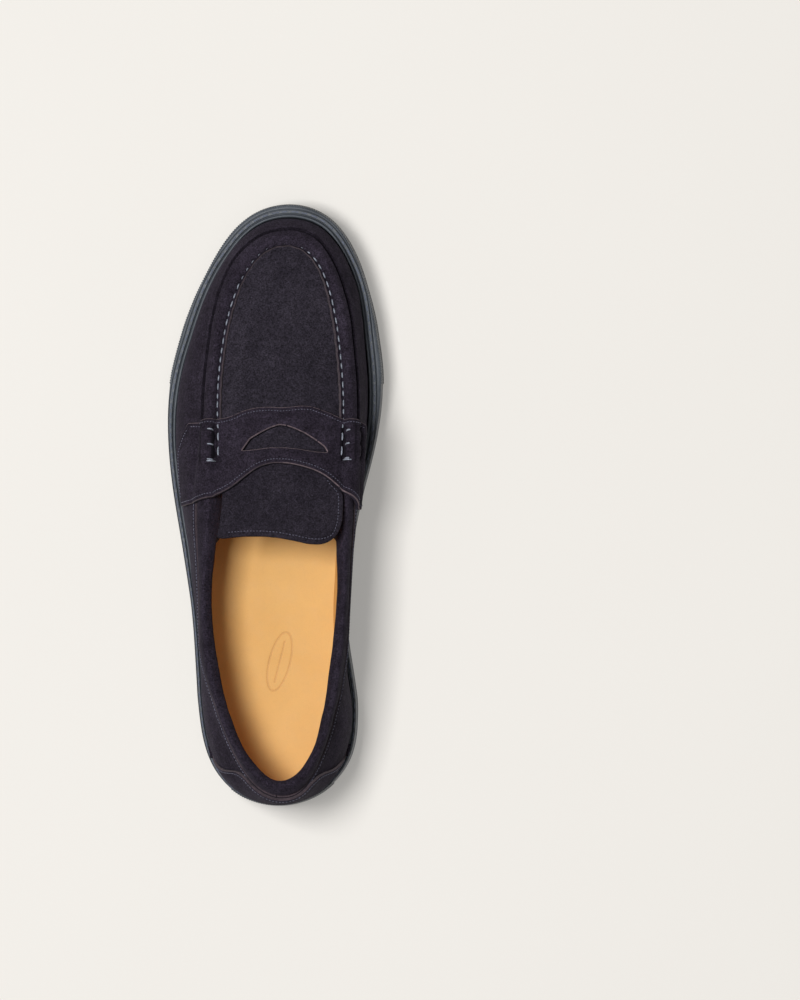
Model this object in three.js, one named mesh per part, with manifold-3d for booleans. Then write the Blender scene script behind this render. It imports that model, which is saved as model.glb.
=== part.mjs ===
// Penny loafer, left foot. Millimetres, +Z up, toe towards +Y, medial side towards +X.
// The origin is the centre of the shoe's footprint, at ground level.
//
// The upper is described by closed rings round the foot. A point on a ring is given by its
// station t (0 back of the heel, 1..3 lateral side, 4 tip of the toe, 5..7 medial side, 8 = 0)
// and its radius r from a spine that runs from the heel centre to the toe centre.
import * as THREE from 'three';
import { mergeVertices } from 'three/addons/utils/BufferGeometryUtils.js';
import Module from 'manifold-3d';

const wasm = await Module();
wasm.setup();

// ---------- driving dimensions ----------
const SPINE_X = 3.0;            // x of the spine
const TOE_Y = 87.75;            // toe end of the spine
const HEEL_Y = -92.25;          // heel end of the spine
const SHIFT_X = 0.53;           // moves the finished shoe so that its box is centred
const SHIFT_Y = -0.03;
const SUEDE = 1.6;              // thickness of the upper leather
const LINING = 1.0;             // thickness of the lining leather
const STIFFENER = 1.2;          // thickness of toe puff and heel counter
const GAP = 0.35;               // clearance between neighbouring layers
const STRAP = 1.9;              // thickness of the saddle strap
const STRAP_LIFT = 0.85;        // clearance under the strap
const OUTSOLE = 4.0;            // thickness of the cup's floor
const BOARD = 2.0;              // insole board
const SOCK = 1.3;               // sock liner
const THREAD = 0.45;            // radius of the sewing thread
const SOLE_THREAD = 0.3;        // radius of the thread in the sole's channel
const LASH = 0.6;               // radius of the thick lashing thread
const TONGUE_HINGE_Y = 4.0;     // line where the tongue bends, at the back of the strap
const STRAP_ROOT_T = 2 + 1 / 6; // station where vamp and quarter meet under the strap
const PLUG_END_T = 2 + 1 / 3;   // station where the apron ends under the strap

// ring tables: 64 equal steps of t over 0..8; S is a radius, the others are [radius, height]
const RING_S = [57.86,57.78,56.58,53.62,50.16,46.57,43.75,42.24,42.16,42.80,43.47,44.31,45.52,47.22,48.97,50.84,52.76,54.51,55.84,56.69,56.95,56.51,55.56,53.02,49.84,47.43,46.60,46.86,48.79,52.23,56.60,60.41,62.53,62.89,61.00,56.98,52.68,49.27,47.24,46.89,47.70,49.31,50.25,49.79,48.54,46.64,44.00,41.01,38.31,36.09,34.33,33.06,32.28,32.32,33.31,35.09,36.76,38.25,40.50,44.12,48.14,51.58,54.80,56.80];
const RING_F = [[55.61,28.46],[55.35,28.44],[53.71,28.38],[50.54,28.28],[46.62,28.15],[42.90,28.00],[40.22,27.85],[38.76,27.70],[38.66,27.55],[39.27,27.29],[40.12,26.97],[41.12,26.62],[42.39,26.25],[44.07,25.91],[45.95,25.61],[47.85,25.36],[49.64,25.11],[51.25,24.86],[52.62,24.66],[53.51,24.53],[53.47,24.50],[52.51,24.61],[50.58,24.84],[47.68,25.16],[44.08,25.54],[41.75,25.84],[40.75,26.15],[41.07,26.57],[42.73,27.11],[45.43,27.68],[49.50,28.24],[53.37,28.71],[55.48,28.93],[56.07,28.90],[54.78,28.59],[50.83,28.00],[46.90,27.33],[44.07,26.69],[42.18,26.17],[41.46,25.84],[42.00,25.54],[43.23,25.16],[44.18,24.84],[44.46,24.61],[44.03,24.50],[42.77,24.53],[40.85,24.66],[38.62,24.86],[36.45,25.11],[34.50,25.36],[32.78,25.61],[31.53,25.91],[30.76,26.25],[30.79,26.62],[31.58,26.97],[33.03,27.29],[34.47,27.55],[35.83,27.69],[37.91,27.83],[41.12,27.98],[45.36,28.13],[49.42,28.27],[52.69,28.37],[54.97,28.44]];
const RING_B = [[56.16,40.61],[55.71,40.28],[53.92,39.64],[50.88,38.98],[47.17,38.43],[43.64,37.99],[40.99,37.62],[39.53,37.29],[39.23,36.97],[39.70,36.63],[40.52,36.29],[41.53,35.98],[42.81,35.75],[44.40,35.60],[46.20,35.51],[48.03,35.48],[49.76,35.45],[51.30,35.40],[52.54,35.19],[53.27,34.53],[53.21,33.50],[52.24,32.57],[50.35,31.96],[47.60,31.62],[44.58,31.47],[42.34,31.42],[41.37,31.46],[41.72,31.58],[43.32,31.75],[46.07,31.95],[49.68,32.15],[53.08,32.33],[55.20,32.46],[55.68,32.50],[54.24,32.40],[51.02,32.17],[47.45,31.88],[44.61,31.63],[42.78,31.48],[42.08,31.44],[42.45,31.50],[43.39,31.68],[44.22,32.02],[44.48,32.60],[44.03,33.49],[42.85,34.51],[41.06,35.18],[39.09,35.40],[37.45,35.45],[36.05,35.48],[34.81,35.51],[33.84,35.60],[33.22,35.75],[33.00,35.98],[33.11,36.28],[33.64,36.62],[34.84,36.96],[36.43,37.27],[38.67,37.60],[41.89,37.98],[45.85,38.46],[49.81,39.09],[53.11,39.84],[55.32,40.45]];
const RING_M = [[55.27,57.45],[54.07,56.69],[51.31,55.25],[47.70,53.80],[43.99,52.67],[40.78,51.83],[38.55,51.15],[37.52,50.57],[37.73,50.06],[38.73,49.59],[39.79,49.20],[40.69,48.96],[41.68,48.90],[42.90,48.99],[44.29,49.21],[45.71,49.49],[46.95,49.77],[47.85,49.98],[48.42,49.74],[48.65,48.33],[48.42,45.90],[47.59,43.54],[46.02,41.79],[43.74,40.55],[41.25,39.70],[39.51,39.15],[38.98,38.77],[39.66,38.46],[41.49,38.16],[44.35,37.87],[47.85,37.61],[51.08,37.45],[53.12,37.46],[53.60,37.61],[52.15,37.81],[48.93,37.99],[45.37,38.18],[42.56,38.42],[40.79,38.74],[40.13,39.18],[40.51,39.79],[41.47,40.68],[42.33,41.93],[42.71,43.62],[42.49,45.87],[41.70,48.27],[40.54,49.71],[39.40,49.97],[38.45,49.76],[37.55,49.49],[36.69,49.21],[35.96,49.00],[35.39,48.89],[34.94,48.95],[34.46,49.19],[33.97,49.58],[34.03,50.03],[34.88,50.54],[36.64,51.12],[39.49,51.83],[43.27,52.77],[47.47,54.10],[51.50,55.74],[54.43,57.11]];
const RING_E = [[52.96,75.79],[49.30,74.45],[43.37,71.64],[38.38,69.23],[35.10,67.55],[32.98,66.36],[32.27,65.38],[32.34,64.56],[34.09,63.84],[37.41,63.20],[39.15,62.75],[39.49,62.54],[39.68,62.69],[39.93,63.08],[40.39,63.63],[40.95,64.30],[41.05,64.89],[40.28,65.48],[38.94,65.87],[37.84,63.66],[37.20,58.78],[36.96,54.76],[36.24,51.93],[35.05,49.78],[33.54,48.22],[32.92,47.23],[33.56,46.46],[35.11,45.75],[37.48,44.92],[40.93,44.12],[44.22,43.32],[47.36,42.68],[49.13,42.61],[49.96,42.92],[48.60,43.48],[44.55,44.12],[40.77,44.80],[37.95,45.56],[36.34,46.40],[35.79,47.27],[36.34,48.35],[37.56,50.02],[38.64,52.21],[39.25,54.93],[39.56,58.67],[39.75,63.53],[39.68,65.84],[39.18,65.48],[38.59,64.88],[37.85,64.29],[37.08,63.63],[36.43,63.10],[35.90,62.68],[35.42,62.54],[34.81,62.74],[33.49,63.20],[31.75,63.80],[30.92,64.51],[31.31,65.34],[32.85,66.35],[35.79,67.66],[40.23,69.67],[46.48,72.61],[52.39,75.38]];
const RING_C = [[46.32,83.71],[43.34,82.57],[39.03,80.71],[35.20,78.95],[32.35,77.50],[30.59,76.37],[29.86,75.42],[30.05,74.55],[31.24,73.69],[33.06,72.79],[34.81,72.06],[35.98,71.65],[36.40,71.47],[36.07,71.45],[35.19,71.52],[34.37,71.66],[33.80,71.84],[33.49,71.82],[33.52,70.74],[33.67,67.41],[33.73,62.61],[33.56,58.53],[32.94,55.60],[31.82,53.42],[30.59,51.85],[30.01,50.78],[30.39,49.97],[31.67,49.22],[33.89,48.42],[36.88,47.62],[40.30,46.86],[43.50,46.31],[45.58,46.20],[45.95,46.48],[44.24,47.00],[40.99,47.63],[37.59,48.32],[34.94,49.08],[33.32,49.91],[32.77,50.82],[33.19,51.98],[34.21,53.65],[35.21,55.84],[35.87,58.67],[36.14,62.58],[36.03,67.32],[35.51,70.70],[34.72,71.82],[33.94,71.84],[33.37,71.66],[33.22,71.52],[33.27,71.45],[32.93,71.47],[32.15,71.65],[31.01,72.06],[29.69,72.79],[28.60,73.68],[28.19,74.50],[28.69,75.34],[30.22,76.34],[33.00,77.64],[37.01,79.38],[41.72,81.46],[45.61,83.26]];
const RING_I = [[45.02,81.31],[40.67,79.72],[35.88,77.63],[31.97,75.85],[29.10,74.45],[27.45,73.32],[27.01,72.39],[26.97,71.52],[28.12,70.63],[30.20,69.72],[32.12,68.98],[33.34,68.60],[33.73,68.44],[33.44,68.42],[32.19,68.51],[31.39,68.65],[30.85,68.87],[30.25,69.43],[29.90,69.02],[29.93,65.59],[30.36,60.55],[30.52,56.67],[29.99,53.88],[28.80,51.74],[27.09,50.15],[26.41,49.21],[26.69,48.45],[27.60,47.77],[29.73,46.91],[32.59,46.12],[36.35,45.33],[40.56,44.62],[43.04,44.59],[43.46,44.89],[41.12,45.48],[37.34,46.11],[33.84,46.79],[31.20,47.56],[29.65,48.40],[29.06,49.27],[29.59,50.27],[30.95,51.99],[32.05,54.17],[32.74,56.86],[32.96,60.46],[32.79,65.41],[32.40,69.00],[31.72,69.46],[30.99,68.89],[30.30,68.65],[30.18,68.51],[30.60,68.42],[30.23,68.44],[29.36,68.59],[28.20,68.98],[26.71,69.72],[25.46,70.60],[24.98,71.46],[25.50,72.31],[26.89,73.27],[29.67,74.55],[33.81,76.25],[38.93,78.49],[43.88,80.72]];

// height of the apron, strap and tongue surface: a ridge line that rises to the instep, and a crown
const CREST_Z = [[-40, 96.5], [-30, 94], [-17, 90.2], [0, 84.8], [20, 78], [40, 71], [52.75, 66.9], [77.75, 59.8], [102.75, 53], [122.75, 47.4], [131, 44.8], [137, 42.4], [150, 36]];
const CROWN = [[-40, 0.0084], [0, 0.0086], [53, 0.0098], [100, 0.0085], [131, 0.008], [150, 0.008]];
const CREST_X = [[-40, 4.2], [80, 4.3], [103, 4.8], [120, 6.5], [131, 8.5], [150, 9]];
const RIM_Z = [[-152, 29], [-90, 28], [-20, 26], [40, 25], [100, 26.5], [130, 28.5], [151, 30]];
const GROUND_Z = [[-151, 1.6], [-146, 0.6], [-138, 0], [60, 0], [80, 0.5], [100, 1.8], [120, 4], [135, 6.4], [151, 9.2]];
const BED_Z = [[-151, 13.2], [-60, 13], [-20, 11], [15, 9], [80, 9.2], [100, 10.6], [120, 12.8], [135, 15], [151, 17.5]];
const FOAM = [[-151, 4.6], [-60, 4.4], [10, 2.4], [151, 2.2]];

// strap outline in plan, as y over x
const STRAP_FRONT = [[-41.99, 39.7], [-40.32, 40.45], [-38.14, 40.45], [-36.01, 40.7], [-33.38, 41.7], [-29.79, 42.55], [-26.29, 42.45], [-21.66, 43.05], [-18.07, 44.2], [-13.99, 46.05], [-10.4, 47.2], [-6.36, 48.05], [-0.31, 48.35], [4.69, 48.1], [9.69, 48.45], [14.67, 48.95], [18.64, 48.75], [23.58, 47.2], [28.47, 45.2], [32.34, 43.4], [34.75, 42.55], [39.21, 42.4], [41.62, 42.05], [42.99, 41.2], [44.27, 39.95], [45.51, 38.95]];
const STRAP_BACK = [[-44.97, -0.8], [-41.54, -0.05], [-35.79, 1.7], [-30.27, 3.2], [-26.14, 4.7], [-22.55, 6.2], [-19.01, 8.2], [-14.96, 11.2], [-9.94, 15.2], [-5.92, 17.95], [-1.92, 19.55], [2.58, 20.4], [7.58, 20.25], [12.58, 19.45], [17.58, 18.1], [22.56, 16.2], [27.54, 13.2], [32.45, 9.2], [37.27, 5.2], [40.34, 2.2], [41.46, -0.8], [42.03, -2.3]];
// penny slot outline in plan
const SLOT = [[-14.4, 27.3], [-10.23, 33.2], [-5.25, 36.2], [-0.27, 38.7], [4.2, 40.2], [8.2, 39.7], [12.25, 38.2], [17.27, 35.95], [22.32, 32.7], [26.82, 29.45], [28.6, 26.5], [22.41, 26.95], [14.93, 28.2], [7.45, 28.95], [-0.05, 28.95], [-7.57, 27.95]];
// tongue edges
const TONGUE_LEFT = [[-15.8, -26.92], [-11.3, -25.96], [-4.8, -25.03], [0.2, -24.59], [5.2, -24.14], [28, -23.6]];
const TONGUE_RIGHT = [[-17.3, 30.71], [-14.8, 33.37], [-11.3, 35.04], [-6.3, 36.2], [-1.3, 36.4], [5.2, 35.0], [12, 30.5], [28, 28.8]];
const TONGUE_END = [[-26.92, -15.8], [-24.88, -16.05], [-19.79, -15.6], [-12.16, -15.1], [-4.57, -15.05], [2.97, -15.55], [10.47, -16.8], [15.47, -17.8], [20.43, -18.8], [24.39, -19.05], [27.8, -18.55], [30.71, -17.3]];

// ---------- small mathematics ----------
const lerp = (a, b, f) => a + (b - a) * f;
const clamp = (v, a, b) => Math.min(b, Math.max(a, v));

// shape-preserving cubic through a table of [x, y]
function table(points) {
  const n = points.length;
  const x = points.map((p) => p[0]);
  const y = points.map((p) => p[1]);
  const h = [], d = [], m = new Array(n).fill(0);
  for (let i = 0; i < n - 1; i++) { h.push(x[i + 1] - x[i]); d.push((y[i + 1] - y[i]) / h[i]); }
  for (let i = 1; i < n - 1; i++) {
    if (d[i - 1] * d[i] > 0) {
      const w1 = 2 * h[i] + h[i - 1], w2 = h[i] + 2 * h[i - 1];
      m[i] = (w1 + w2) / (w1 / d[i - 1] + w2 / d[i]);
    }
  }
  m[0] = d[0]; m[n - 1] = d[n - 2];
  return (v) => {
    const q = clamp(v, x[0], x[n - 1]);
    let i = 0;
    while (i < n - 2 && q > x[i + 1]) i++;
    const s = (q - x[i]) / h[i], s2 = s * s, s3 = s2 * s;
    return (2 * s3 - 3 * s2 + 1) * y[i] + (s3 - 2 * s2 + s) * h[i] * m[i]
      + (-2 * s3 + 3 * s2) * y[i + 1] + (s3 - s2) * h[i] * m[i + 1];
  };
}
const crestZ = table(CREST_Z), crown = table(CROWN), crestX = table(CREST_X);
const rimZ = table(RIM_Z), groundZ = table(GROUND_Z), bedZ = table(BED_Z), foamT = table(FOAM);
const strapFront = table(STRAP_FRONT), strapBack = table(STRAP_BACK);
const tongueLeft = table(TONGUE_LEFT), tongueRight = table(TONGUE_RIGHT), tongueEnd = table(TONGUE_END);
const topZ = (x, y) => crestZ(y) - crown(y) * (x - crestX(y)) ** 2;

// periodic cubic through a ring table
function ringValue(ring, t, k) {
  const n = ring.length;
  let q = (((t % 8) + 8) % 8) * n / 8;
  const i = Math.floor(q) % n, f = q - Math.floor(q);
  const g = (j) => { const e = ring[(j + n) % n]; return k === undefined ? e : e[k]; };
  const a = g(i - 1), b = g(i), c = g(i + 1), d = g(i + 2);
  return b + 0.5 * f * (c - a + f * (2 * a - 5 * b + 4 * c - d + f * (3 * (b - c) + d - a)));
}

// the plan point at station t and radius r
function plan(t, r) {
  t = ((t % 8) + 8) % 8;
  let a;
  if (t <= 1) { a = -Math.PI / 2 * (1 + t); return [SPINE_X + r * Math.cos(a), HEEL_Y + r * Math.sin(a)]; }
  if (t <= 3) return [SPINE_X - r, HEEL_Y + (t - 1) / 2 * (TOE_Y - HEEL_Y)];
  if (t <= 5) { a = Math.PI / 2 * (5 - t); return [SPINE_X + r * Math.cos(a), TOE_Y + r * Math.sin(a)]; }
  if (t <= 7) return [SPINE_X + r, TOE_Y - (t - 5) / 2 * (TOE_Y - HEEL_Y)];
  a = -Math.PI / 2 * (t - 7);
  return [SPINE_X + r * Math.cos(a), HEEL_Y + r * Math.sin(a)];
}
const stationOfY = (y, side) => { const s = 1 + (y - HEEL_Y) / (TOE_Y - HEEL_Y) * 2; return side < 0 ? s : 8 - s; };

// profile of the upper at station t, as knots [r, z]:
// lasting margin, corner, feather line, low bulge, middle, band edge, crest, inner edge, roll inside
function knots(t) {
  const F = [ringValue(RING_F, t, 0), ringValue(RING_F, t, 1)];
  const B = [ringValue(RING_B, t, 0), ringValue(RING_B, t, 1)];
  const M = [ringValue(RING_M, t, 0), ringValue(RING_M, t, 1)];
  const E = [ringValue(RING_E, t, 0), ringValue(RING_E, t, 1)];
  const C = [ringValue(RING_C, t, 0), ringValue(RING_C, t, 1)];
  const I = [ringValue(RING_I, t, 0), ringValue(RING_I, t, 1)];
  const y = plan(t, F[0])[1];
  const L = [F[0] - 0.8, bedZ(y)];
  const J = [I[0] + 0.5, I[1] - 6], K = [I[0] + 1.2, I[1] - 13];
  return [L, F, B, M, E, C, I, J, K];
}
// h: -1 corner, 0 feather line, 1 bulge, 2 middle, 3 band edge, 4 crest, 5 inner edge, 6 and 7 inside
function profile(k, h) {
  const q = clamp(h + 1, 0, k.length - 1);
  const i = Math.min(Math.floor(q), k.length - 2), f = q - i;
  const dist = (a, b) => Math.hypot(a[0] - b[0], a[1] - b[1]) || 1e-6;
  const p1 = k[i], p2 = k[i + 1];
  const p0 = i > 0 ? k[i - 1] : null, p3 = i + 2 < k.length ? k[i + 2] : null;
  const d1 = dist(p1, p2);
  const out = [0, 0];
  for (let c = 0; c < 2; c++) {
    const s1 = (p2[c] - p1[c]) / d1;
    let m1 = s1, m2 = s1;
    if (p0) { const d0 = dist(p0, p1); m1 = ((p1[c] - p0[c]) / d0 * d1 + s1 * d0) / (d0 + d1); }
    if (p3) { const d2 = dist(p2, p3); m2 = (s1 * d2 + (p3[c] - p2[c]) / d2 * d1) / (d1 + d2); }
    const f2 = f * f, f3 = f2 * f;
    out[c] = (2 * f3 - 3 * f2 + 1) * p1[c] + (f3 - 2 * f2 + f) * d1 * m1 + (-2 * f3 + 3 * f2) * p2[c] + (f3 - f2) * d1 * m2;
  }
  return out;
}
function wallPoint(t, h) {
  const [r, z] = profile(knots(t), h);
  const [x, y] = plan(t, r);
  return [x, y, z];
}
const sub = (a, b) => [a[0] - b[0], a[1] - b[1], a[2] - b[2]];
const cross = (a, b) => [a[1] * b[2] - a[2] * b[1], a[2] * b[0] - a[0] * b[2], a[0] * b[1] - a[1] * b[0]];
const unit = (a) => { const l = Math.hypot(...a) || 1; return [a[0] / l, a[1] / l, a[2] / l]; };
const move = (p, n, d) => [p[0] + n[0] * d, p[1] + n[1] * d, p[2] + n[2] * d];
// point of the upper's outer surface moved out by d (negative is inwards)
function wall(t, h, d = 0) {
  const p = wallPoint(t, h);
  if (d === 0) return p;
  const e = 0.02;
  const dh = sub(wallPoint(t, Math.min(h + e, 7)), wallPoint(t, Math.max(h - e, -1)));
  const dt = sub(wallPoint(t + e, h), wallPoint(t - e, h));
  return move(p, unit(cross(dh, dt)), d);
}
// point of the apron surface, at a share rho of the inner ring's radius, lowered by d
function top(t, rho, d = 0) {
  const [x, y] = plan(t, ringValue(RING_I, t, 0) * rho);
  return [x, y, topZ(x, y) - d];
}

// ---------- solids from grids ----------
function meshFrom(positions, index) {
  // drop triangles that have collapsed, weld, then turn the faces outwards
  let g = new THREE.BufferGeometry();
  g.setAttribute('position', new THREE.Float32BufferAttribute(positions.flat(), 3));
  g.setIndex(index);
  g = mergeVertices(g, 1e-4);
  const src = g.index.array, idx = [];
  for (let i = 0; i < src.length; i += 3) {
    if (src[i] !== src[i + 1] && src[i + 1] !== src[i + 2] && src[i] !== src[i + 2]) idx.push(src[i], src[i + 1], src[i + 2]);
  }
  const p = g.attributes.position.array;
  let vol = 0;
  for (let i = 0; i < idx.length; i += 3) {
    const [a, b, c] = [idx[i] * 3, idx[i + 1] * 3, idx[i + 2] * 3];
    vol += p[a] * (p[b + 1] * p[c + 2] - p[b + 2] * p[c + 1]) + p[a + 1] * (p[b + 2] * p[c] - p[b] * p[c + 2]) + p[a + 2] * (p[b] * p[c + 1] - p[b + 1] * p[c]);
  }
  if (vol < 0) for (let i = 0; i < idx.length; i += 3) { const s = idx[i]; idx[i] = idx[i + 1]; idx[i + 1] = s; }
  g.setIndex(idx);
  return g;
}
// a panel between an outer and an inner grid [i][j]; with spine, the last column of one half meets
// that of the other half and needs no edge
function panel(outer, inner, spine = false) {
  const ni = outer.length, nj = outer[0].length;
  const pos = [], idx = [];
  const o = (i, j) => i * nj + j, q = (i, j) => ni * nj + i * nj + j;
  for (const row of outer) pos.push(...row);
  for (const row of inner) pos.push(...row);
  const quad = (a, b, c, d) => idx.push(a, b, c, a, c, d);
  for (let i = 0; i < ni - 1; i++) {
    for (let j = 0; j < nj - 1; j++) {
      quad(o(i, j), o(i + 1, j), o(i + 1, j + 1), o(i, j + 1));
      quad(q(i, j), q(i, j + 1), q(i + 1, j + 1), q(i + 1, j));
    }
    quad(o(i, 0), q(i, 0), q(i + 1, 0), o(i + 1, 0));
    if (!spine) quad(o(i, nj - 1), o(i + 1, nj - 1), q(i + 1, nj - 1), q(i, nj - 1));
  }
  for (let j = 0; j < nj - 1; j++) {
    quad(o(0, j), o(0, j + 1), q(0, j + 1), q(0, j));
    quad(o(ni - 1, j), q(ni - 1, j), q(ni - 1, j + 1), o(ni - 1, j + 1));
  }
  return meshFrom(pos, idx);
}
// a loft through closed sections [i][j]; closed round the shoe, or capped at its two ends
function loft(sections, closed) {
  const ni = sections.length, nj = sections[0].length;
  const pos = [], idx = [];
  for (const s of sections) pos.push(...s);
  const id = (i, j) => (i % ni) * nj + (j % nj);
  for (let i = 0; i < (closed ? ni : ni - 1); i++) {
    for (let j = 0; j < nj; j++) idx.push(id(i, j), id(i + 1, j), id(i + 1, j + 1), id(i, j), id(i + 1, j + 1), id(i, j + 1));
  }
  if (!closed) {
    const v = pos.map((p) => new THREE.Vector3(...p));
    for (const e of [0, ni - 1]) {
      const ring = []; for (let j = 0; j < nj; j++) ring.push(v[id(e, j)]);
      // flatten the end section to its own plane to cut it into triangles
      const c = ring.reduce((a, b) => a.add(b), new THREE.Vector3()).divideScalar(nj);
      const n = new THREE.Vector3();
      for (let j = 0; j < nj; j++) n.add(new THREE.Vector3().crossVectors(ring[j].clone().sub(c), ring[(j + 1) % nj].clone().sub(c)));
      n.normalize();
      const ux = ring[0].clone().sub(c).projectOnPlane(n).normalize(), uy = new THREE.Vector3().crossVectors(n, ux);
      const flat = ring.map((p) => new THREE.Vector2(p.clone().sub(c).dot(ux), p.clone().sub(c).dot(uy)));
      for (const tri of THREE.ShapeUtils.triangulateShape(flat, [])) {
        const [a, b, d] = tri;
        if (e === 0) idx.push(id(e, a), id(e, b), id(e, d)); else idx.push(id(e, a), id(e, d), id(e, b));
      }
    }
  }
  return meshFrom(pos, idx);
}
// a body of stations round the whole shoe; each profile runs from the spine, out, and back to it
function basin(stations, profileOf) {
  const rows = stations.map((t) => profileOf(t).map(([r, z]) => { const [x, y] = plan(t, r); return [x, y, z === null ? 0 : z]; }));
  const ni = rows.length, nj = rows[0].length, pos = [], idx = [];
  for (const r of rows) pos.push(...r);
  const id = (i, j) => (i % ni) * nj + j;
  for (let i = 0; i < ni; i++) for (let j = 0; j < nj - 1; j++) idx.push(id(i, j), id(i + 1, j), id(i + 1, j + 1), id(i, j), id(i + 1, j + 1), id(i, j + 1));
  return meshFrom(pos, idx);
}
// a thread of n sides through points, with the given surface normals
function thread(points, radius, sides = 5, closed = false) {
  const n = points.length, sections = [];
  for (let i = 0; i < n; i++) {
    const a = points[closed ? (i - 1 + n) % n : Math.max(i - 1, 0)], b = points[closed ? (i + 1) % n : Math.min(i + 1, n - 1)];
    const tan = unit(sub(b, a));
    const ref = Math.abs(tan[2]) > 0.95 ? [1, 0, 0] : [0, 0, 1];
    const side = unit(cross(tan, ref)), up = cross(side, tan);
    const s = [];
    for (let k = 0; k < sides; k++) {
      const w = (k + 0.5) / sides * Math.PI * 2;
      s.push(move(move(points[i], side, Math.cos(w) * radius), up, Math.sin(w) * radius));
    }
    sections.push(s);
  }
  return loft(sections, closed);
}
const toManifold = (g) => new wasm.Manifold(new wasm.Mesh({ numProp: 3, vertProperties: new Float32Array(g.attributes.position.array), triVerts: new Uint32Array(g.index.array) }));
function fromManifold(m) {
  const out = m.getMesh();
  const g = new THREE.BufferGeometry();
  g.setAttribute('position', new THREE.Float32BufferAttribute(out.vertProperties, 3));
  g.setIndex(Array.from(out.triVerts));
  return g;
}

// ---------- stations ----------
const ROUND = [];
for (let i = 0; i < 8; i++) ROUND.push(i / 8);
for (let i = 0; i < 12; i++) ROUND.push(1 + i / 6);
for (let i = 0; i < 16; i++) ROUND.push(3 + i / 8);
for (let i = 0; i < 12; i++) ROUND.push(5 + i / 6);
for (let i = 0; i < 8; i++) ROUND.push(7 + i / 8);
// the stations from a to b, both ends included; a may be below zero, round the heel
function between(a, b) {
  const all = [...ROUND.map((t) => t - 8), ...ROUND, 8];
  const mid = all.filter((t) => t > a + 0.02 && t < b - 0.02);
  return [a, ...mid, b];
}
const tGap = GAP / 2 / 90;          // half a seam gap along the straight stations

// ---------- assembly ----------
const shoe = new THREE.Group();
shoe.name = 'penny_loafer';
const suedeColour = 0x27222d, lashColour = 0x8b93a6, rubberColour = 0x23272f, tanColour = 0xd9a666;
function add(name, geometry, colour, roughness = 0.9, metalness = 0) {
  const mesh = new THREE.Mesh(geometry, new THREE.MeshStandardMaterial({ color: colour, roughness, metalness }));
  mesh.name = name;
  mesh.position.set(SHIFT_X, SHIFT_Y, 0);
  shoe.add(mesh);
}

// Sole: a moulded rubber cup with bumper bands at toe and heel, and a stitch channel in its rim.
const bumper = (t) => {
  const u = ((t % 8) + 8) % 8;
  return (u > 2.70 && u < 5.30) || u < 0.3 || u > 7.68 ? 0.5 : 0;
};
const smooth = (a, b, v) => { const f = clamp((v - a) / (b - a), 0, 1); return f * f * (3 - 2 * f); };
const zone = (t) => {
  const u = ((t % 8) + 8) % 8;
  return smooth(2.55, 2.85, u) * smooth(5.45, 5.15, u) + smooth(0.45, 0.15, u) + smooth(7.53, 7.83, u);
};
const sole = (t) => ringValue(RING_S, t) - 0.05 - 0.5 * zone(t);
add('cupsole', basin(ROUND, (t) => {
  const S = sole(t), F = ringValue(RING_F, t, 0), w = S - F, b = bumper(t);
  const zr = (r) => rimZ(plan(t, r)[1]), zg = (r) => groundZ(plan(t, r)[1]);
  const zi = bedZ(plan(t, F)[1]);
  const floor = (r) => zg(r) + OUTSOLE;
  return [[0, zg(0)], [F * 0.55, zg(F * 0.55)], [S - 5, zg(S - 5)], [S - 1.2, zg(S) + 0.6], [S + b, zg(S) + 3.6], [S + b, zr(S) - 2.9],
    [S - 0.08 * w, zr(S) - 1.7], [S - 0.27 * w, zr(S) - 1.5], [S - 0.29 * w, zr(S) - 2.5], [S - 0.67 * w, zr(S) - 2.5], [S - 0.69 * w, zr(S) - 0.5], [F + 0.55, zr(F) - 0.1],
    [F + 0.4, zi + 0.4 * (zr(F) - zi)], [F - 0.4, floor(F)], [F * 0.55, floor(F * 0.55)], [0, floor(0)]];
}), rubberColour, 0.6);
add('sole_stitch_thread', thread(ROUND.map((t) => {
  const S = sole(t), F = ringValue(RING_F, t, 0), r = S - 0.48 * (S - F), [x, y] = plan(t, r);
  return [x, y, rimZ(plan(t, S)[1]) - 2.5 + GAP + SOLE_THREAD];
}), SOLE_THREAD, 4, true), 0x4d5568, 0.8);

// Inside the cup, from the floor up: filler, the upper's lasting margin, board, foam, sock liner.
const inset = (t) => ringValue(RING_F, t, 0);
add('midsole_filler', basin(ROUND, (t) => {
  const R = inset(t) - 0.85 - GAP, zf = (r) => groundZ(plan(t, r)[1]) + OUTSOLE + GAP, zt = (r) => bedZ(plan(t, r)[1]) - GAP;
  return [[0, zf(0)], [R * 0.55, zf(R * 0.55)], [R, zf(R)], [R, zt(R)], [R * 0.55, zt(R * 0.55)], [0, zt(0)]];
}), 0x8a8f94, 0.95);
add('insole_board', basin(ROUND, (t) => {
  const R = inset(t) - 0.8 - SUEDE - GAP, z0 = (r) => bedZ(plan(t, r)[1]) + SUEDE + GAP;
  return [[0, z0(0)], [R * 0.55, z0(R * 0.55)], [R, z0(R)], [R, z0(R) + BOARD], [R * 0.55, z0(R * 0.55) + BOARD], [0, z0(0) + BOARD]];
}), 0xb9a58a, 0.9);
const boardTop = (x, y) => bedZ(y) + SUEDE + GAP + BOARD;
add('footbed_foam', basin(ROUND, (t) => {
  const R = inset(t) - 6.1, z0 = (r) => { const [x, y] = plan(t, r); return boardTop(x, y) + GAP; }, th = (r) => foamT(plan(t, r)[1]);
  return [[0, z0(0)], [R * 0.55, z0(R * 0.55)], [R, z0(R)], [R, z0(R) + th(R)], [R * 0.55, z0(R * 0.55) + th(R * 0.55)], [0, z0(0) + th(0)]];
}), 0xc9c4b6, 0.95);
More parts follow.
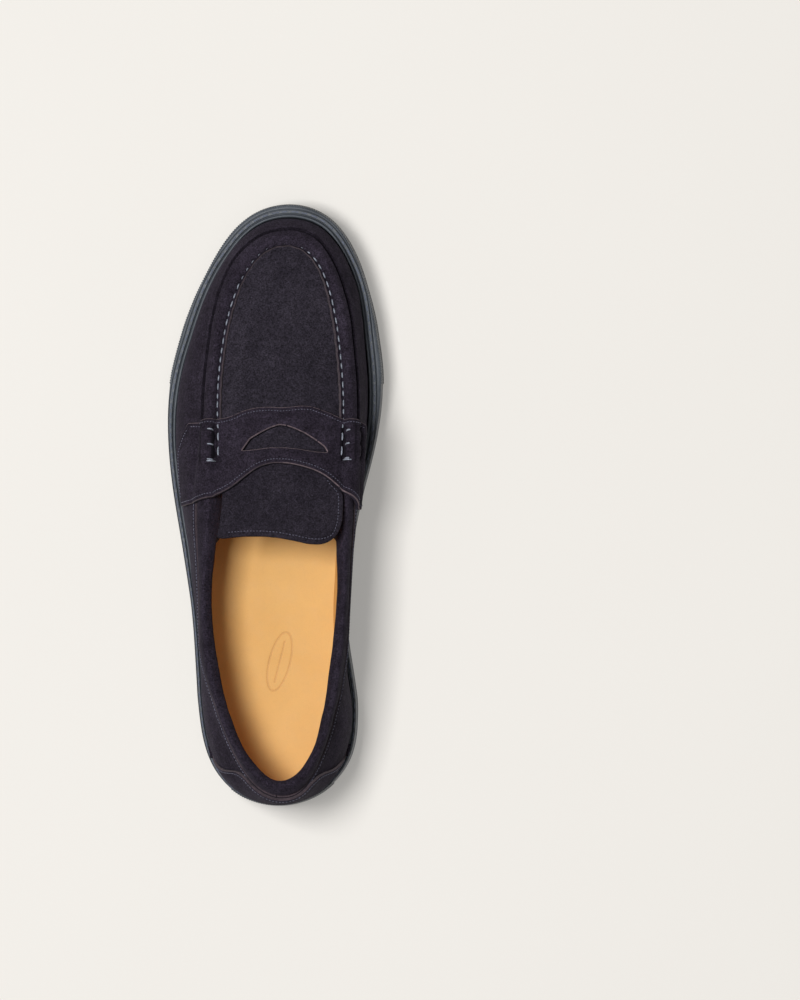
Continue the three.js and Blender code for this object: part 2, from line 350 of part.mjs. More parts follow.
add('sock_liner', basin(ROUND, (t) => {
  const R = inset(t) - 5.9, z0 = (r) => { const [x, y] = plan(t, r); return boardTop(x, y) + 2 * GAP + foamT(y); };
  return [[0, z0(0)], [R * 0.55, z0(R * 0.55)], [R, z0(R)], [R, z0(R) + SOCK], [R * 0.55, z0(R * 0.55) + SOCK], [0, z0(0) + SOCK]];
}), tanColour, 0.55);

// Upper walls. The lasting margin turns in under the board.
const MARGIN = 11;
function marginPoint(t, d) {
  const [x, y] = plan(t, inset(t) - 0.8 - MARGIN);
  return [x, y, bedZ(y) + d];
}
function wallPanel(stations, hs, margin = true) {
  const outer = [], inner = [];
  for (const t of stations) {
    const o = hs.map((h) => wall(t, h)), n = hs.map((h) => {
      if (h === -1) { const [x, y] = plan(t, inset(t) - 0.8 - SUEDE); return [x, y, bedZ(y) + SUEDE]; }
      return wall(t, h, -SUEDE);
    });
    if (margin) { o.unshift(marginPoint(t, 0)); n.unshift(marginPoint(t, SUEDE)); }
    outer.push(o); inner.push(n);
  }
  return panel(outer, inner);
}
const VAMP_H = [-1, 0, 0.5, 1, 1.5, 2, 2.5, 3, 3.4, 3.7, 4, 4.4, 4.8];
add('vamp', wallPanel(between(STRAP_ROOT_T + tGap, 8 - STRAP_ROOT_T - tGap), VAMP_H), suedeColour);
const QUARTER_H = [-1, 0, 0.5, 1, 1.5, 2, 2.5, 3];
const heelGap = 0.0022;
add('quarter_lateral', wallPanel(between(heelGap, STRAP_ROOT_T - tGap), QUARTER_H), suedeColour);
add('quarter_medial', wallPanel(between(8 - STRAP_ROOT_T + tGap, 8 - heelGap), QUARTER_H), suedeColour);

// Apron: the top panel inside the ridge, with its raw edge along the seam.
const TOP_RHO = [1, 0.75, 0.5, 0.25, 0];
const apronStations = between(PLUG_END_T + tGap, 8 - PLUG_END_T - tGap);
const edgeRho = (t, mm) => 1 - mm / ringValue(RING_I, t, 0);
add('apron', panel(apronStations.map((t) => TOP_RHO.map((f) => top(t, f * edgeRho(t, 1.0)))),
  apronStations.map((t) => TOP_RHO.map((f) => top(t, f * edgeRho(t, 1.0), SUEDE))), true), suedeColour);
add('apron_stitch_thread', thread(apronStations.map((t) => {
  const [x, y] = plan(t, ringValue(RING_I, t, 0) - 0.35);
  return [x, y, topZ(x, y) + 0.75];
}), THREAD, 5), lashColour, 0.7);

// Linings: the vamp lining runs up the walls and over the top under the apron.
const LIN0 = 3.6, LIN1 = LIN0 + LINING;
const liningFoot = 0.05;
add('vamp_lining', (() => {
  const outer = [], inner = [];
  for (const t of apronStations) {
    const o = [liningFoot, 1, 2, 2.8].map((h) => wall(t, h, -LIN0)), n = [liningFoot, 1, 2, 2.8].map((h) => wall(t, h, -LIN1));
    for (const f of [0.93, 0.62, 0.31, 0]) { o.push(top(t, f, SUEDE + 1.9)); n.push(top(t, f, SUEDE + 1.9 + LINING)); }
    outer.push(o); inner.push(n);
  }
  return panel(outer, inner, true);
})(), 0xb98a58, 0.7);
// quarter linings run up behind the quarters to the lower edge of the collar
function quarterLining(stations) {
  const outer = [], inner = [];
  for (const t of stations) {
    const k = knots(t), K = k[8];
    const head = (d) => { const [x, y] = plan(t, K[0] - d); return [x, y, K[1] - GAP - 0.3]; };
    const a = (d) => wall(t, liningFoot, -d), b = (d) => wall(t, 1, -d), c = (d) => wall(t, 2, -d - 0.3);
    outer.push([a(LIN0), b(LIN0), c(LIN0), head(-0.3)]);
    inner.push([a(LIN1), b(LIN1), c(LIN1), head(0.7)]);
  }
  return panel(outer, inner);
}
add('quarter_lining_lateral', quarterLining(between(heelGap, PLUG_END_T - tGap)), 0xb98a58, 0.7);
add('quarter_lining_medial', quarterLining(between(8 - PLUG_END_T + tGap, 8 - heelGap)), 0xb98a58, 0.7);

// Stiffeners between upper and lining.
const stiffener = (stations, hs) => panel(stations.map((t) => hs.map((h) => wall(t, h, -SUEDE - GAP))),
  stations.map((t) => hs.map((h) => wall(t, h, -SUEDE - GAP - STIFFENER))));
add('toe_puff', stiffener(between(3.125, 4.875), [0.05, 1, 2, 2.7]), 0xd8cfc0, 0.9);
add('heel_counter', stiffener(between(-1 - 1 / 6, 1 + 1 / 6), [0.05, 0.5, 1, 1.5, 2, 2.5]), 0xd8cfc0, 0.9);

// Collar: a soft band rolled over foam, from the quarter's top edge round to the inside.
const collarStations = between(-(STRAP_ROOT_T - tGap), STRAP_ROOT_T - tGap);
const COLLAR_H = [3.12, 3.45, 3.75, 4, 4.3, 4.65, 5, 6, 7];
const COLLAR = 1.2;
add('collar_band', panel(collarStations.map((t) => COLLAR_H.map((h) => wall(t, h))),
  collarStations.map((t) => COLLAR_H.map((h) => wall(t, h, -COLLAR)))), suedeColour);
add('collar_foam', loft(collarStations.map((t) => [3.45, 3.75, 4, 4.3, 4.65, 5, 6].map((h) => wall(t, h, -COLLAR - GAP))), false), 0x9a9a9a, 0.95);
add('collar_stitch_thread', thread(between(-1.99, 1.99).map((t) => wall(t, 3.06, THREAD + 0.35)), 0.3, 4), 0x4b4a5e, 0.8);

// Heel patch over the back seam.
const PATCH = table([[0, 2.97], [0.2, 2.95], [0.26, 2.8], [0.43, 1.6], [0.55, 0.45], [0.6, 0.35]]);
const patchStations = between(-0.57, 0.57);
const PATCH_F = [0, 0.125, 0.25, 0.375, 0.5, 0.625, 0.75, 0.875, 1];
const patchH = (t, f) => lerp(0.16, PATCH(Math.abs(t)), f);
add('heel_patch', panel(patchStations.map((t) => PATCH_F.map((f) => wall(t, patchH(t, f), 0.68 + 1.1))),
  patchStations.map((t) => PATCH_F.map((f) => wall(t, patchH(t, f), 0.68)))), suedeColour);

// Saddle strap. q runs across from tab to tab, w from front edge to back edge.
// p is the place across the upper: 0 middle, 2 seam, 3 crest, 4 band edge, 5 middle of the wall, 6 low bulge.
function saddle(p, y) {
  const side = p < 0 ? -1 : 1, a = Math.abs(p), t = stationOfY(y, side), k = knots(t);
  const rI = k[6][0];
  if (a <= 2) {
    const tl = stationOfY(y, -1), tr = stationOfY(y, 1);
    const xl = SPINE_X - ringValue(RING_I, tl, 0) + 1.2, xr = SPINE_X + ringValue(RING_I, tr, 0) - 1.2;
    const x = lerp(xl, xr, (p + 2) / 4);
    return [x, y, topZ(x, y)];
  }
  const xi = SPINE_X + side * (rI - 1.2);
  const I = [rI - 1.2, topZ(xi, y)];
  const xcr = SPINE_X + side * k[5][0];
  const C = [k[5][0], Math.max(k[5][1], topZ(xcr, y) + 0.1)];
  const [r, z] = profile([k[1], k[2], k[3], k[4], C, I, [I[0] - 6, topZ(SPINE_X + side * (I[0] - 6), y)]], 6 - a);
  return [SPINE_X + side * r, y, z];
}
function saddleOut(p, y, d) {
  const e = 0.03;
  const dp = sub(saddle(p + e, y), saddle(p - e, y)), dy = sub(saddle(p, y + 0.3), saddle(p, y - 0.3));
  return move(saddle(p, y), unit(cross(dp, dy)), d);
}
const TAB = table([[0, 4.5], [0.2, 4.85], [0.35, 5.05], [0.5, 5.08], [1, 4.95]]);
function strapY(p, edge) {
  let y = 20;
  for (let i = 0; i < 12; i++) y = edge(saddle(p, y)[0]);
  return y;
}
function strapPoint(q, w, d) {
  const yf = strapY(q * TAB(0), strapFront), yb = strapY(q * TAB(1), strapBack);
  return saddleOut(q * TAB(w), lerp(yf, yb, w), d);
}
const Q = [0, 0.12, 0.24, 0.34, 0.4, 0.46, 0.52, 0.58, 0.64, 0.7, 0.76, 0.84, 0.92, 1];
const QS = [...Q.slice(1).reverse().map((v) => -v), ...Q];
const WS = [0, 0.12, 0.3, 0.5, 0.7, 0.88, 1];
add('saddle_strap', (() => {
  const body = panel(QS.map((q) => WS.map((w) => strapPoint(q, w, STRAP_LIFT + STRAP))), QS.map((q) => WS.map((w) => strapPoint(q, w, STRAP_LIFT))));
  const shape = new THREE.Shape(SLOT.map((p) => new THREE.Vector2(...p)));
  let cutter = new THREE.ExtrudeGeometry(shape, { depth: 60, bevelEnabled: false });
  cutter.translate(0, 0, 50);
  cutter.deleteAttribute('normal'); cutter.deleteAttribute('uv');
  cutter = mergeVertices(cutter, 1e-4);
  return fromManifold(toManifold(body).subtract(toManifold(cutter)));
})(), suedeColour);
const along = (f, n) => Array.from({ length: n }, (_, i) => f(i / (n - 1)));
const STITCH_LIFT = STRAP_LIFT + STRAP + 0.55;
add('strap_front_stitch', thread(along((s) => strapPoint(lerp(-0.9, 0.9, s), 0.06, STITCH_LIFT + 0.1), 41), 0.28, 4), 0x5a6076, 0.8);
add('strap_back_stitch', thread(along((s) => strapPoint(lerp(-0.94, 0.94, s), 0.93, STITCH_LIFT), 33), 0.28, 4), 0x5a6076, 0.8);
// Lashings: a stitched line along the seam, and three bars over the ridge, one cord of thread each side.
function lashing(side) {
  const lift = STRAP_LIFT + STRAP + LASH + 0.75;
  const point = (p, y) => saddleOut(side * p, y, lift);
  let body = toManifold(thread(along((s) => point(2.3, lerp(39.6, 22.8, s)), 9), LASH, 6));
  for (const y of [37.4, 30.3, 22.9]) body = body.add(toManifold(thread(along((s) => point(lerp(2.25, 3.7, s), y), 6), LASH, 6)));
  return fromManifold(body);
}
add('lashing_lateral', lashing(-1), lashColour, 0.7);
add('lashing_medial', lashing(1), lashColour, 0.7);

// Tongue: a suede flap that bends at the back of the strap. The root lies under the strap, the flap
// lifts on the line y = TONGUE_HINGE_Y.
const tongueZ = (x, y) => topZ(x, y) + (x > 4.2 ? 0.7 * ((x - 4.2) / 32) ** 2 : 0);
function tongueGrid(y0, endOf, qs, ws, drop, insetMm) {
  return qs.map((q) => ws.map((w) => {
    let y = y0, x = 0;
    for (let i = 0; i < 6; i++) {
      x = lerp(tongueLeft(y) + insetMm, tongueRight(y) - insetMm, (q + 1) / 2);
      y = lerp(y0, endOf(x), w);
    }
    return [x, y, tongueZ(x, y) - drop];
  }));
}
const TQ = [-1, -0.8, -0.5, -0.2, 0.1, 0.4, 0.7, 0.88, 1], TW = [0, 0.3, 0.6, 0.85, 1];
const flapEnd = (m) => (x) => tongueEnd(x) + m;
const tongueSolid = (y0, endOf, d0, d1, m) => panel(tongueGrid(y0, endOf, TQ, TW, d0, m), tongueGrid(y0, endOf, TQ, TW, d1, m));
const rootEnd = () => TONGUE_HINGE_Y;
add('tongue_root', tongueSolid(27.3, rootEnd, 0, SUEDE, 0), suedeColour);
add('tongue_flap', tongueSolid(TONGUE_HINGE_Y - 0.5, flapEnd(0), 0, SUEDE, 0), suedeColour);
add('tongue_lining', tongueSolid(TONGUE_HINGE_Y - 0.5, flapEnd(1.5), SUEDE + GAP, SUEDE + GAP + LINING, 2.6), 0xb98a58, 0.7);
add('tongue_stitch_thread', thread((() => {
  const pts = [], m = 2.5;
  const at = (q, w) => tongueGrid(TONGUE_HINGE_Y - 1.2, flapEnd(m), [q], [w], -0.65, m)[0][0];
  for (const w of [0, 0.35, 0.7]) pts.push(at(-1, w));
  for (const q of [-1, -0.75, -0.5, -0.25, 0, 0.25, 0.5, 0.7, 0.88, 1]) pts.push(at(q, 1));
  for (const w of [0.85, 0.6, 0.3, 0]) pts.push(at(1, w));
  return pts;
})(), 0.28, 4), 0x5a6076, 0.8);

export default shoe;
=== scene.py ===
"""Penny loafer, left foot: the looks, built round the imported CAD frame.

Millimetres inside, metres at the mesh. The upper follows closed rings round the foot: a station t
(0 back of the heel, 1..3 lateral side, 4 tip of the toe, 5..7 medial side) and a height h up the wall
(0 feather line, 1 bulge, 2 middle, 3 foot of the ridge, 4 crest, 5 seam or topline, 6 and 7 inside).
"""

import math

import bpy
import numpy as np
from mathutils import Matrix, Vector
from mathutils.geometry import delaunay_2d_cdt


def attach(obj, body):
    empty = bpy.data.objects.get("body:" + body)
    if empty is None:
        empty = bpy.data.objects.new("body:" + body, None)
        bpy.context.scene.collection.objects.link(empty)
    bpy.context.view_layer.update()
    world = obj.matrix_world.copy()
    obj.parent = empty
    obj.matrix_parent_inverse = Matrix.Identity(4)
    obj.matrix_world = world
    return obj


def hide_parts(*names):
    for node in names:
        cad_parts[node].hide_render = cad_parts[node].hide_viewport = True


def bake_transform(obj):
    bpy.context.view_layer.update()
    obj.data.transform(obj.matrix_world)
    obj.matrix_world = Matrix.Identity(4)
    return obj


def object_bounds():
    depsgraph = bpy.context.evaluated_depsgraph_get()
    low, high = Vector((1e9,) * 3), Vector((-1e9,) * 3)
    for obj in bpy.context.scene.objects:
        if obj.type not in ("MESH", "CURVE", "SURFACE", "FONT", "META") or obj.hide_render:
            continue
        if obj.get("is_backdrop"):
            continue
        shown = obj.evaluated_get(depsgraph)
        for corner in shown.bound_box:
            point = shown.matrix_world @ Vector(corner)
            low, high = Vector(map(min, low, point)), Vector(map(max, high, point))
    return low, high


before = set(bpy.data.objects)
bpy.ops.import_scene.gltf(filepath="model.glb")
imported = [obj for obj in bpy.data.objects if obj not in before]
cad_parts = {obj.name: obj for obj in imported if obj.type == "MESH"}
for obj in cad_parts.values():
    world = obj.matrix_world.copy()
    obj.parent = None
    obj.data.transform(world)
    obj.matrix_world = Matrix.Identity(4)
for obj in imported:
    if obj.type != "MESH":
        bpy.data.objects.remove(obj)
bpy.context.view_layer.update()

SPINE_X, TOE_Y, HEEL_Y = 3.0, 87.75, -92.25
SHIFT = np.array([0.53, -0.03, 0.0])
SUEDE, STRAP, STRAP_LIFT = 1.6, 1.9, 0.85
STRAP_ROOT_T, PLUG_END_T = 2 + 1 / 6, 2 + 1 / 3

RING_S = np.array([57.86,57.78,56.58,53.62,50.16,46.57,43.75,42.24,42.16,42.80,43.47,44.31,45.52,47.22,48.97,50.84,52.76,54.51,55.84,56.69,56.95,56.51,55.56,53.02,49.84,47.43,46.60,46.86,48.79,52.23,56.60,60.41,62.53,62.89,61.00,56.98,52.68,49.27,47.24,46.89,47.70,49.31,50.25,49.79,48.54,46.64,44.00,41.01,38.31,36.09,34.33,33.06,32.28,32.32,33.31,35.09,36.76,38.25,40.50,44.12,48.14,51.58,54.80,56.80])
RING_F = np.array([[55.61,28.46],[55.35,28.44],[53.71,28.38],[50.54,28.28],[46.62,28.15],[42.90,28.00],[40.22,27.85],[38.76,27.70],[38.66,27.55],[39.27,27.29],[40.12,26.97],[41.12,26.62],[42.39,26.25],[44.07,25.91],[45.95,25.61],[47.85,25.36],[49.64,25.11],[51.25,24.86],[52.62,24.66],[53.51,24.53],[53.47,24.50],[52.51,24.61],[50.58,24.84],[47.68,25.16],[44.08,25.54],[41.75,25.84],[40.75,26.15],[41.07,26.57],[42.73,27.11],[45.43,27.68],[49.50,28.24],[53.37,28.71],[55.48,28.93],[56.07,28.90],[54.78,28.59],[50.83,28.00],[46.90,27.33],[44.07,26.69],[42.18,26.17],[41.46,25.84],[42.00,25.54],[43.23,25.16],[44.18,24.84],[44.46,24.61],[44.03,24.50],[42.77,24.53],[40.85,24.66],[38.62,24.86],[36.45,25.11],[34.50,25.36],[32.78,25.61],[31.53,25.91],[30.76,26.25],[30.79,26.62],[31.58,26.97],[33.03,27.29],[34.47,27.55],[35.83,27.69],[37.91,27.83],[41.12,27.98],[45.36,28.13],[49.42,28.27],[52.69,28.37],[54.97,28.44]])
RING_B = np.array([[56.16,40.61],[55.71,40.28],[53.92,39.64],[50.88,38.98],[47.17,38.43],[43.64,37.99],[40.99,37.62],[39.53,37.29],[39.23,36.97],[39.70,36.63],[40.52,36.29],[41.53,35.98],[42.81,35.75],[44.40,35.60],[46.20,35.51],[48.03,35.48],[49.76,35.45],[51.30,35.40],[52.54,35.19],[53.27,34.53],[53.21,33.50],[52.24,32.57],[50.35,31.96],[47.60,31.62],[44.58,31.47],[42.34,31.42],[41.37,31.46],[41.72,31.58],[43.32,31.75],[46.07,31.95],[49.68,32.15],[53.08,32.33],[55.20,32.46],[55.68,32.50],[54.24,32.40],[51.02,32.17],[47.45,31.88],[44.61,31.63],[42.78,31.48],[42.08,31.44],[42.45,31.50],[43.39,31.68],[44.22,32.02],[44.48,32.60],[44.03,33.49],[42.85,34.51],[41.06,35.18],[39.09,35.40],[37.45,35.45],[36.05,35.48],[34.81,35.51],[33.84,35.60],[33.22,35.75],[33.00,35.98],[33.11,36.28],[33.64,36.62],[34.84,36.96],[36.43,37.27],[38.67,37.60],[41.89,37.98],[45.85,38.46],[49.81,39.09],[53.11,39.84],[55.32,40.45]])
RING_M = np.array([[55.27,57.45],[54.07,56.69],[51.31,55.25],[47.70,53.80],[43.99,52.67],[40.78,51.83],[38.55,51.15],[37.52,50.57],[37.73,50.06],[38.73,49.59],[39.79,49.20],[40.69,48.96],[41.68,48.90],[42.90,48.99],[44.29,49.21],[45.71,49.49],[46.95,49.77],[47.85,49.98],[48.42,49.74],[48.65,48.33],[48.42,45.90],[47.59,43.54],[46.02,41.79],[43.74,40.55],[41.25,39.70],[39.51,39.15],[38.98,38.77],[39.66,38.46],[41.49,38.16],[44.35,37.87],[47.85,37.61],[51.08,37.45],[53.12,37.46],[53.60,37.61],[52.15,37.81],[48.93,37.99],[45.37,38.18],[42.56,38.42],[40.79,38.74],[40.13,39.18],[40.51,39.79],[41.47,40.68],[42.33,41.93],[42.71,43.62],[42.49,45.87],[41.70,48.27],[40.54,49.71],[39.40,49.97],[38.45,49.76],[37.55,49.49],[36.69,49.21],[35.96,49.00],[35.39,48.89],[34.94,48.95],[34.46,49.19],[33.97,49.58],[34.03,50.03],[34.88,50.54],[36.64,51.12],[39.49,51.83],[43.27,52.77],[47.47,54.10],[51.50,55.74],[54.43,57.11]])
RING_E = np.array([[52.96,75.79],[49.30,74.45],[43.37,71.64],[38.38,69.23],[35.10,67.55],[32.98,66.36],[32.27,65.38],[32.34,64.56],[34.09,63.84],[37.41,63.20],[39.15,62.75],[39.49,62.54],[39.68,62.69],[39.93,63.08],[40.39,63.63],[40.95,64.30],[41.05,64.89],[40.28,65.48],[38.94,65.87],[37.84,63.66],[37.20,58.78],[36.96,54.76],[36.24,51.93],[35.05,49.78],[33.54,48.22],[32.92,47.23],[33.56,46.46],[35.11,45.75],[37.48,44.92],[40.93,44.12],[44.22,43.32],[47.36,42.68],[49.13,42.61],[49.96,42.92],[48.60,43.48],[44.55,44.12],[40.77,44.80],[37.95,45.56],[36.34,46.40],[35.79,47.27],[36.34,48.35],[37.56,50.02],[38.64,52.21],[39.25,54.93],[39.56,58.67],[39.75,63.53],[39.68,65.84],[39.18,65.48],[38.59,64.88],[37.85,64.29],[37.08,63.63],[36.43,63.10],[35.90,62.68],[35.42,62.54],[34.81,62.74],[33.49,63.20],[31.75,63.80],[30.92,64.51],[31.31,65.34],[32.85,66.35],[35.79,67.66],[40.23,69.67],[46.48,72.61],[52.39,75.38]])
RING_C = np.array([[46.32,83.71],[43.34,82.57],[39.03,80.71],[35.20,78.95],[32.35,77.50],[30.59,76.37],[29.86,75.42],[30.05,74.55],[31.24,73.69],[33.06,72.79],[34.81,72.06],[35.98,71.65],[36.40,71.47],[36.07,71.45],[35.19,71.52],[34.37,71.66],[33.80,71.84],[33.49,71.82],[33.52,70.74],[33.67,67.41],[33.73,62.61],[33.56,58.53],[32.94,55.60],[31.82,53.42],[30.59,51.85],[30.01,50.78],[30.39,49.97],[31.67,49.22],[33.89,48.42],[36.88,47.62],[40.30,46.86],[43.50,46.31],[45.58,46.20],[45.95,46.48],[44.24,47.00],[40.99,47.63],[37.59,48.32],[34.94,49.08],[33.32,49.91],[32.77,50.82],[33.19,51.98],[34.21,53.65],[35.21,55.84],[35.87,58.67],[36.14,62.58],[36.03,67.32],[35.51,70.70],[34.72,71.82],[33.94,71.84],[33.37,71.66],[33.22,71.52],[33.27,71.45],[32.93,71.47],[32.15,71.65],[31.01,72.06],[29.69,72.79],[28.60,73.68],[28.19,74.50],[28.69,75.34],[30.22,76.34],[33.00,77.64],[37.01,79.38],[41.72,81.46],[45.61,83.26]])
RING_I = np.array([[45.02,81.31],[40.67,79.72],[35.88,77.63],[31.97,75.85],[29.10,74.45],[27.45,73.32],[27.01,72.39],[26.97,71.52],[28.12,70.63],[30.20,69.72],[32.12,68.98],[33.34,68.60],[33.73,68.44],[33.44,68.42],[32.19,68.51],[31.39,68.65],[30.85,68.87],[30.25,69.43],[29.90,69.02],[29.93,65.59],[30.36,60.55],[30.52,56.67],[29.99,53.88],[28.80,51.74],[27.09,50.15],[26.41,49.21],[26.69,48.45],[27.60,47.77],[29.73,46.91],[32.59,46.12],[36.35,45.33],[40.56,44.62],[43.04,44.59],[43.46,44.89],[41.12,45.48],[37.34,46.11],[33.84,46.79],[31.20,47.56],[29.65,48.40],[29.06,49.27],[29.59,50.27],[30.95,51.99],[32.05,54.17],[32.74,56.86],[32.96,60.46],[32.79,65.41],[32.40,69.00],[31.72,69.46],[30.99,68.89],[30.30,68.65],[30.18,68.51],[30.60,68.42],[30.23,68.44],[29.36,68.59],[28.20,68.98],[26.71,69.72],[25.46,70.60],[24.98,71.46],[25.50,72.31],[26.89,73.27],[29.67,74.55],[33.81,76.25],[38.93,78.49],[43.88,80.72]])

CREST_Z = [[-40, 96.5], [-30, 94], [-17, 90.2], [0, 84.8], [20, 78], [40, 71], [52.75, 66.9], [77.75, 59.8], [102.75, 53], [122.75, 47.4], [131, 44.8], [137, 42.4], [150, 36]]
CROWN = [[-40, 0.0084], [0, 0.0086], [53, 0.0098], [100, 0.0085], [131, 0.008], [150, 0.008]]
CREST_X = [[-40, 4.2], [80, 4.3], [103, 4.8], [120, 6.5], [131, 8.5], [150, 9]]
RIM_Z = [[-152, 29], [-90, 28], [-20, 26], [40, 25], [100, 26.5], [130, 28.5], [151, 30]]
GROUND_Z = [[-151, 1.6], [-146, 0.6], [-138, 0], [60, 0], [80, 0.5], [100, 1.8], [120, 4], [135, 6.4], [151, 9.2]]
BED_Z = [[-151, 13.2], [-60, 13], [-20, 11], [15, 9], [80, 9.2], [100, 10.6], [120, 12.8], [135, 15], [151, 17.5]]
FOAM = [[-151, 4.6], [-60, 4.4], [10, 2.4], [151, 2.2]]
STRAP_FRONT = [[-41.99, 39.7], [-40.32, 40.45], [-38.14, 40.45], [-36.01, 40.7], [-33.38, 41.7], [-29.79, 42.55], [-26.29, 42.45], [-21.66, 43.05], [-18.07, 44.2], [-13.99, 46.05], [-10.4, 47.2], [-6.36, 48.05], [-0.31, 48.35], [4.69, 48.1], [9.69, 48.45], [14.67, 48.95], [18.64, 48.75], [23.58, 47.2], [28.47, 45.2], [32.34, 43.4], [34.75, 42.55], [39.21, 42.4], [41.62, 42.05], [42.99, 41.2], [44.27, 39.95], [45.51, 38.95]]
STRAP_BACK = [[-44.97, -0.8], [-41.54, -0.05], [-35.79, 1.7], [-30.27, 3.2], [-26.14, 4.7], [-22.55, 6.2], [-19.01, 8.2], [-14.96, 11.2], [-9.94, 15.2], [-5.92, 17.95], [-1.92, 19.55], [2.58, 20.4], [7.58, 20.25], [12.58, 19.45], [17.58, 18.1], [22.56, 16.2], [27.54, 13.2], [32.45, 9.2], [37.27, 5.2], [40.34, 2.2], [41.46, -0.8], [42.03, -2.3]]
SLOT = [[-14.4, 27.3], [-10.23, 33.2], [-5.25, 36.2], [-0.27, 38.7], [4.2, 40.2], [8.2, 39.7], [12.25, 38.2], [17.27, 35.95], [22.32, 32.7], [26.82, 29.45], [28.6, 26.5], [22.41, 26.95], [14.93, 28.2], [7.45, 28.95], [-0.05, 28.95], [-7.57, 27.95]]
TONGUE_LEFT = [[-15.8, -26.92], [-11.3, -25.96], [-4.8, -25.03], [0.2, -24.59], [5.2, -24.14], [28, -23.6]]
TONGUE_RIGHT = [[-17.3, 30.71], [-14.8, 33.37], [-11.3, 35.04], [-6.3, 36.2], [-1.3, 36.4], [5.2, 35.0], [12, 30.5], [28, 28.8]]
TONGUE_END = [[-26.92, -15.8], [-24.88, -16.05], [-19.79, -15.6], [-12.16, -15.1], [-4.57, -15.05], [2.97, -15.55], [10.47, -16.8], [15.47, -17.8], [20.43, -18.8], [24.39, -19.05], [27.8, -18.55], [30.71, -17.3]]
TAB = [[0, 4.5], [0.2, 4.85], [0.35, 5.05], [0.5, 5.08], [1, 4.95]]
PATCH = [[0, 2.97], [0.2, 2.95], [0.26, 2.8], [0.43, 1.6], [0.55, 0.45], [0.6, 0.35]]


# ---------- small mathematics ----------
def unit(v):
    return v / np.maximum(np.linalg.norm(v, axis=-1, keepdims=True), 1e-9)


def ease(a, b, x):
    f = np.clip((np.asarray(x, float) - a) / (b - a), 0, 1)
    return f * f * (3 - 2 * f)


def bell(x, width):
    return np.exp(-((np.asarray(x, float) / width) ** 2))


class Table:
    """Shape-preserving cubic through [x, y] points."""

    def __init__(self, points):
        p = np.array(points, float)
        self.x, self.y = p[:, 0], p[:, 1]
        self.h = np.diff(self.x)
        d = np.diff(self.y) / self.h
        m = np.zeros(len(p))
        for i in range(1, len(p) - 1):
            if d[i - 1] * d[i] > 0:
                w1, w2 = 2 * self.h[i] + self.h[i - 1], self.h[i] + 2 * self.h[i - 1]
                m[i] = (w1 + w2) / (w1 / d[i - 1] + w2 / d[i])
        m[0], m[-1] = d[0], d[-1]
        self.m = m

    def __call__(self, v):
        v = np.clip(np.asarray(v, float), self.x[0], self.x[-1])
        i = np.clip(np.searchsorted(self.x, v, side="right") - 1, 0, len(self.h) - 1)
        h = self.h[i]
        s = (v - self.x[i]) / h
        s2, s3 = s * s, s * s * s
        return (2 * s3 - 3 * s2 + 1) * self.y[i] + (s3 - 2 * s2 + s) * h * self.m[i] + (-2 * s3 + 3 * s2) * self.y[i + 1] + (s3 - s2) * h * self.m[i + 1]


crest_z, crown, crest_x = Table(CREST_Z), Table(CROWN), Table(CREST_X)
rim_z, ground_z, bed_z, foam_t = Table(RIM_Z), Table(GROUND_Z), Table(BED_Z), Table(FOAM)
strap_front, strap_back, tab, patch = Table(STRAP_FRONT), Table(STRAP_BACK), Table(TAB), Table(PATCH)
tongue_left, tongue_right, tongue_end = Table(TONGUE_LEFT), Table(TONGUE_RIGHT), Table(TONGUE_END)


def top_z(x, y):
    return crest_z(y) - crown(y) * (x - crest_x(y)) ** 2


def noise(P, size, seed=0):
    """Smooth noise from -1 to 1, with features of the given size."""
    q = np.asarray(P, float) / size + np.array([37.13, 11.71, 53.37]) * (seed + 1)
    i = np.floor(q).astype(np.int64)
    f = q - i
    f = f * f * f * (f * (f * 6 - 15) + 10)

    def corner(a, b, c):
        n = ((i[..., 0] + a) * 73856093) ^ ((i[..., 1] + b) * 19349663) ^ ((i[..., 2] + c) * 83492791) ^ (seed * 40503 + 977)
        n = (n ^ (n >> 13)) * 1274126177
        n = (n ^ (n >> 16)) & 0x7FFFFFFF
        return n / 1073741823.5 - 1.0

    out = 0
    for a in (0, 1):
        wa = f[..., 0] if a else 1 - f[..., 0]
        for b in (0, 1):
            wb = f[..., 1] if b else 1 - f[..., 1]
            for c in (0, 1):
                wc = f[..., 2] if c else 1 - f[..., 2]
                out = out + corner(a, b, c) * wa * wb * wc
    return out


def folds(P, seed=0):
    """Slight unevenness of soft leather, in mm."""
    return 0.22 * noise(P, 21, seed) + 0.10 * noise(P, 9, seed + 5)


# ---------- the rings ----------
NT = 1024
TS = np.arange(NT) * 8 / NT


def ring(R, t):
    n = len(R)
    q = (np.asarray(t, float) % 8) * n / 8
    i = np.floor(q).astype(int)
    f = q - i
    a, b, c, d = R[(i - 1) % n], R[i % n], R[(i + 1) % n], R[(i + 2) % n]
    if R.ndim > 1:
        f = f[..., None]
    return b + 0.5 * f * (c - a + f * (2 * a - 5 * b + 4 * c - d + f * (3 * (b - c) + d - a)))


def centre_y(t):
    t = np.asarray(t, float) % 8
    return np.select([t <= 1, t <= 3, t <= 5, t <= 7], [HEEL_Y + 0 * t, HEEL_Y + (t - 1) / 2 * (TOE_Y - HEEL_Y), TOE_Y + 0 * t, TOE_Y - (t - 5) / 2 * (TOE_Y - HEEL_Y)], HEEL_Y)


def plan(t, r):
    t = np.asarray(t, float) % 8
    a = np.select([t <= 1, t <= 3, t <= 5, t <= 7], [-np.pi / 2 * (1 + t), np.pi + 0 * t, np.pi / 2 * (5 - t), 0 * t], -np.pi / 2 * (t - 7))
    return np.stack([SPINE_X + r * np.cos(a), centre_y(t) + r * np.sin(a)], -1)


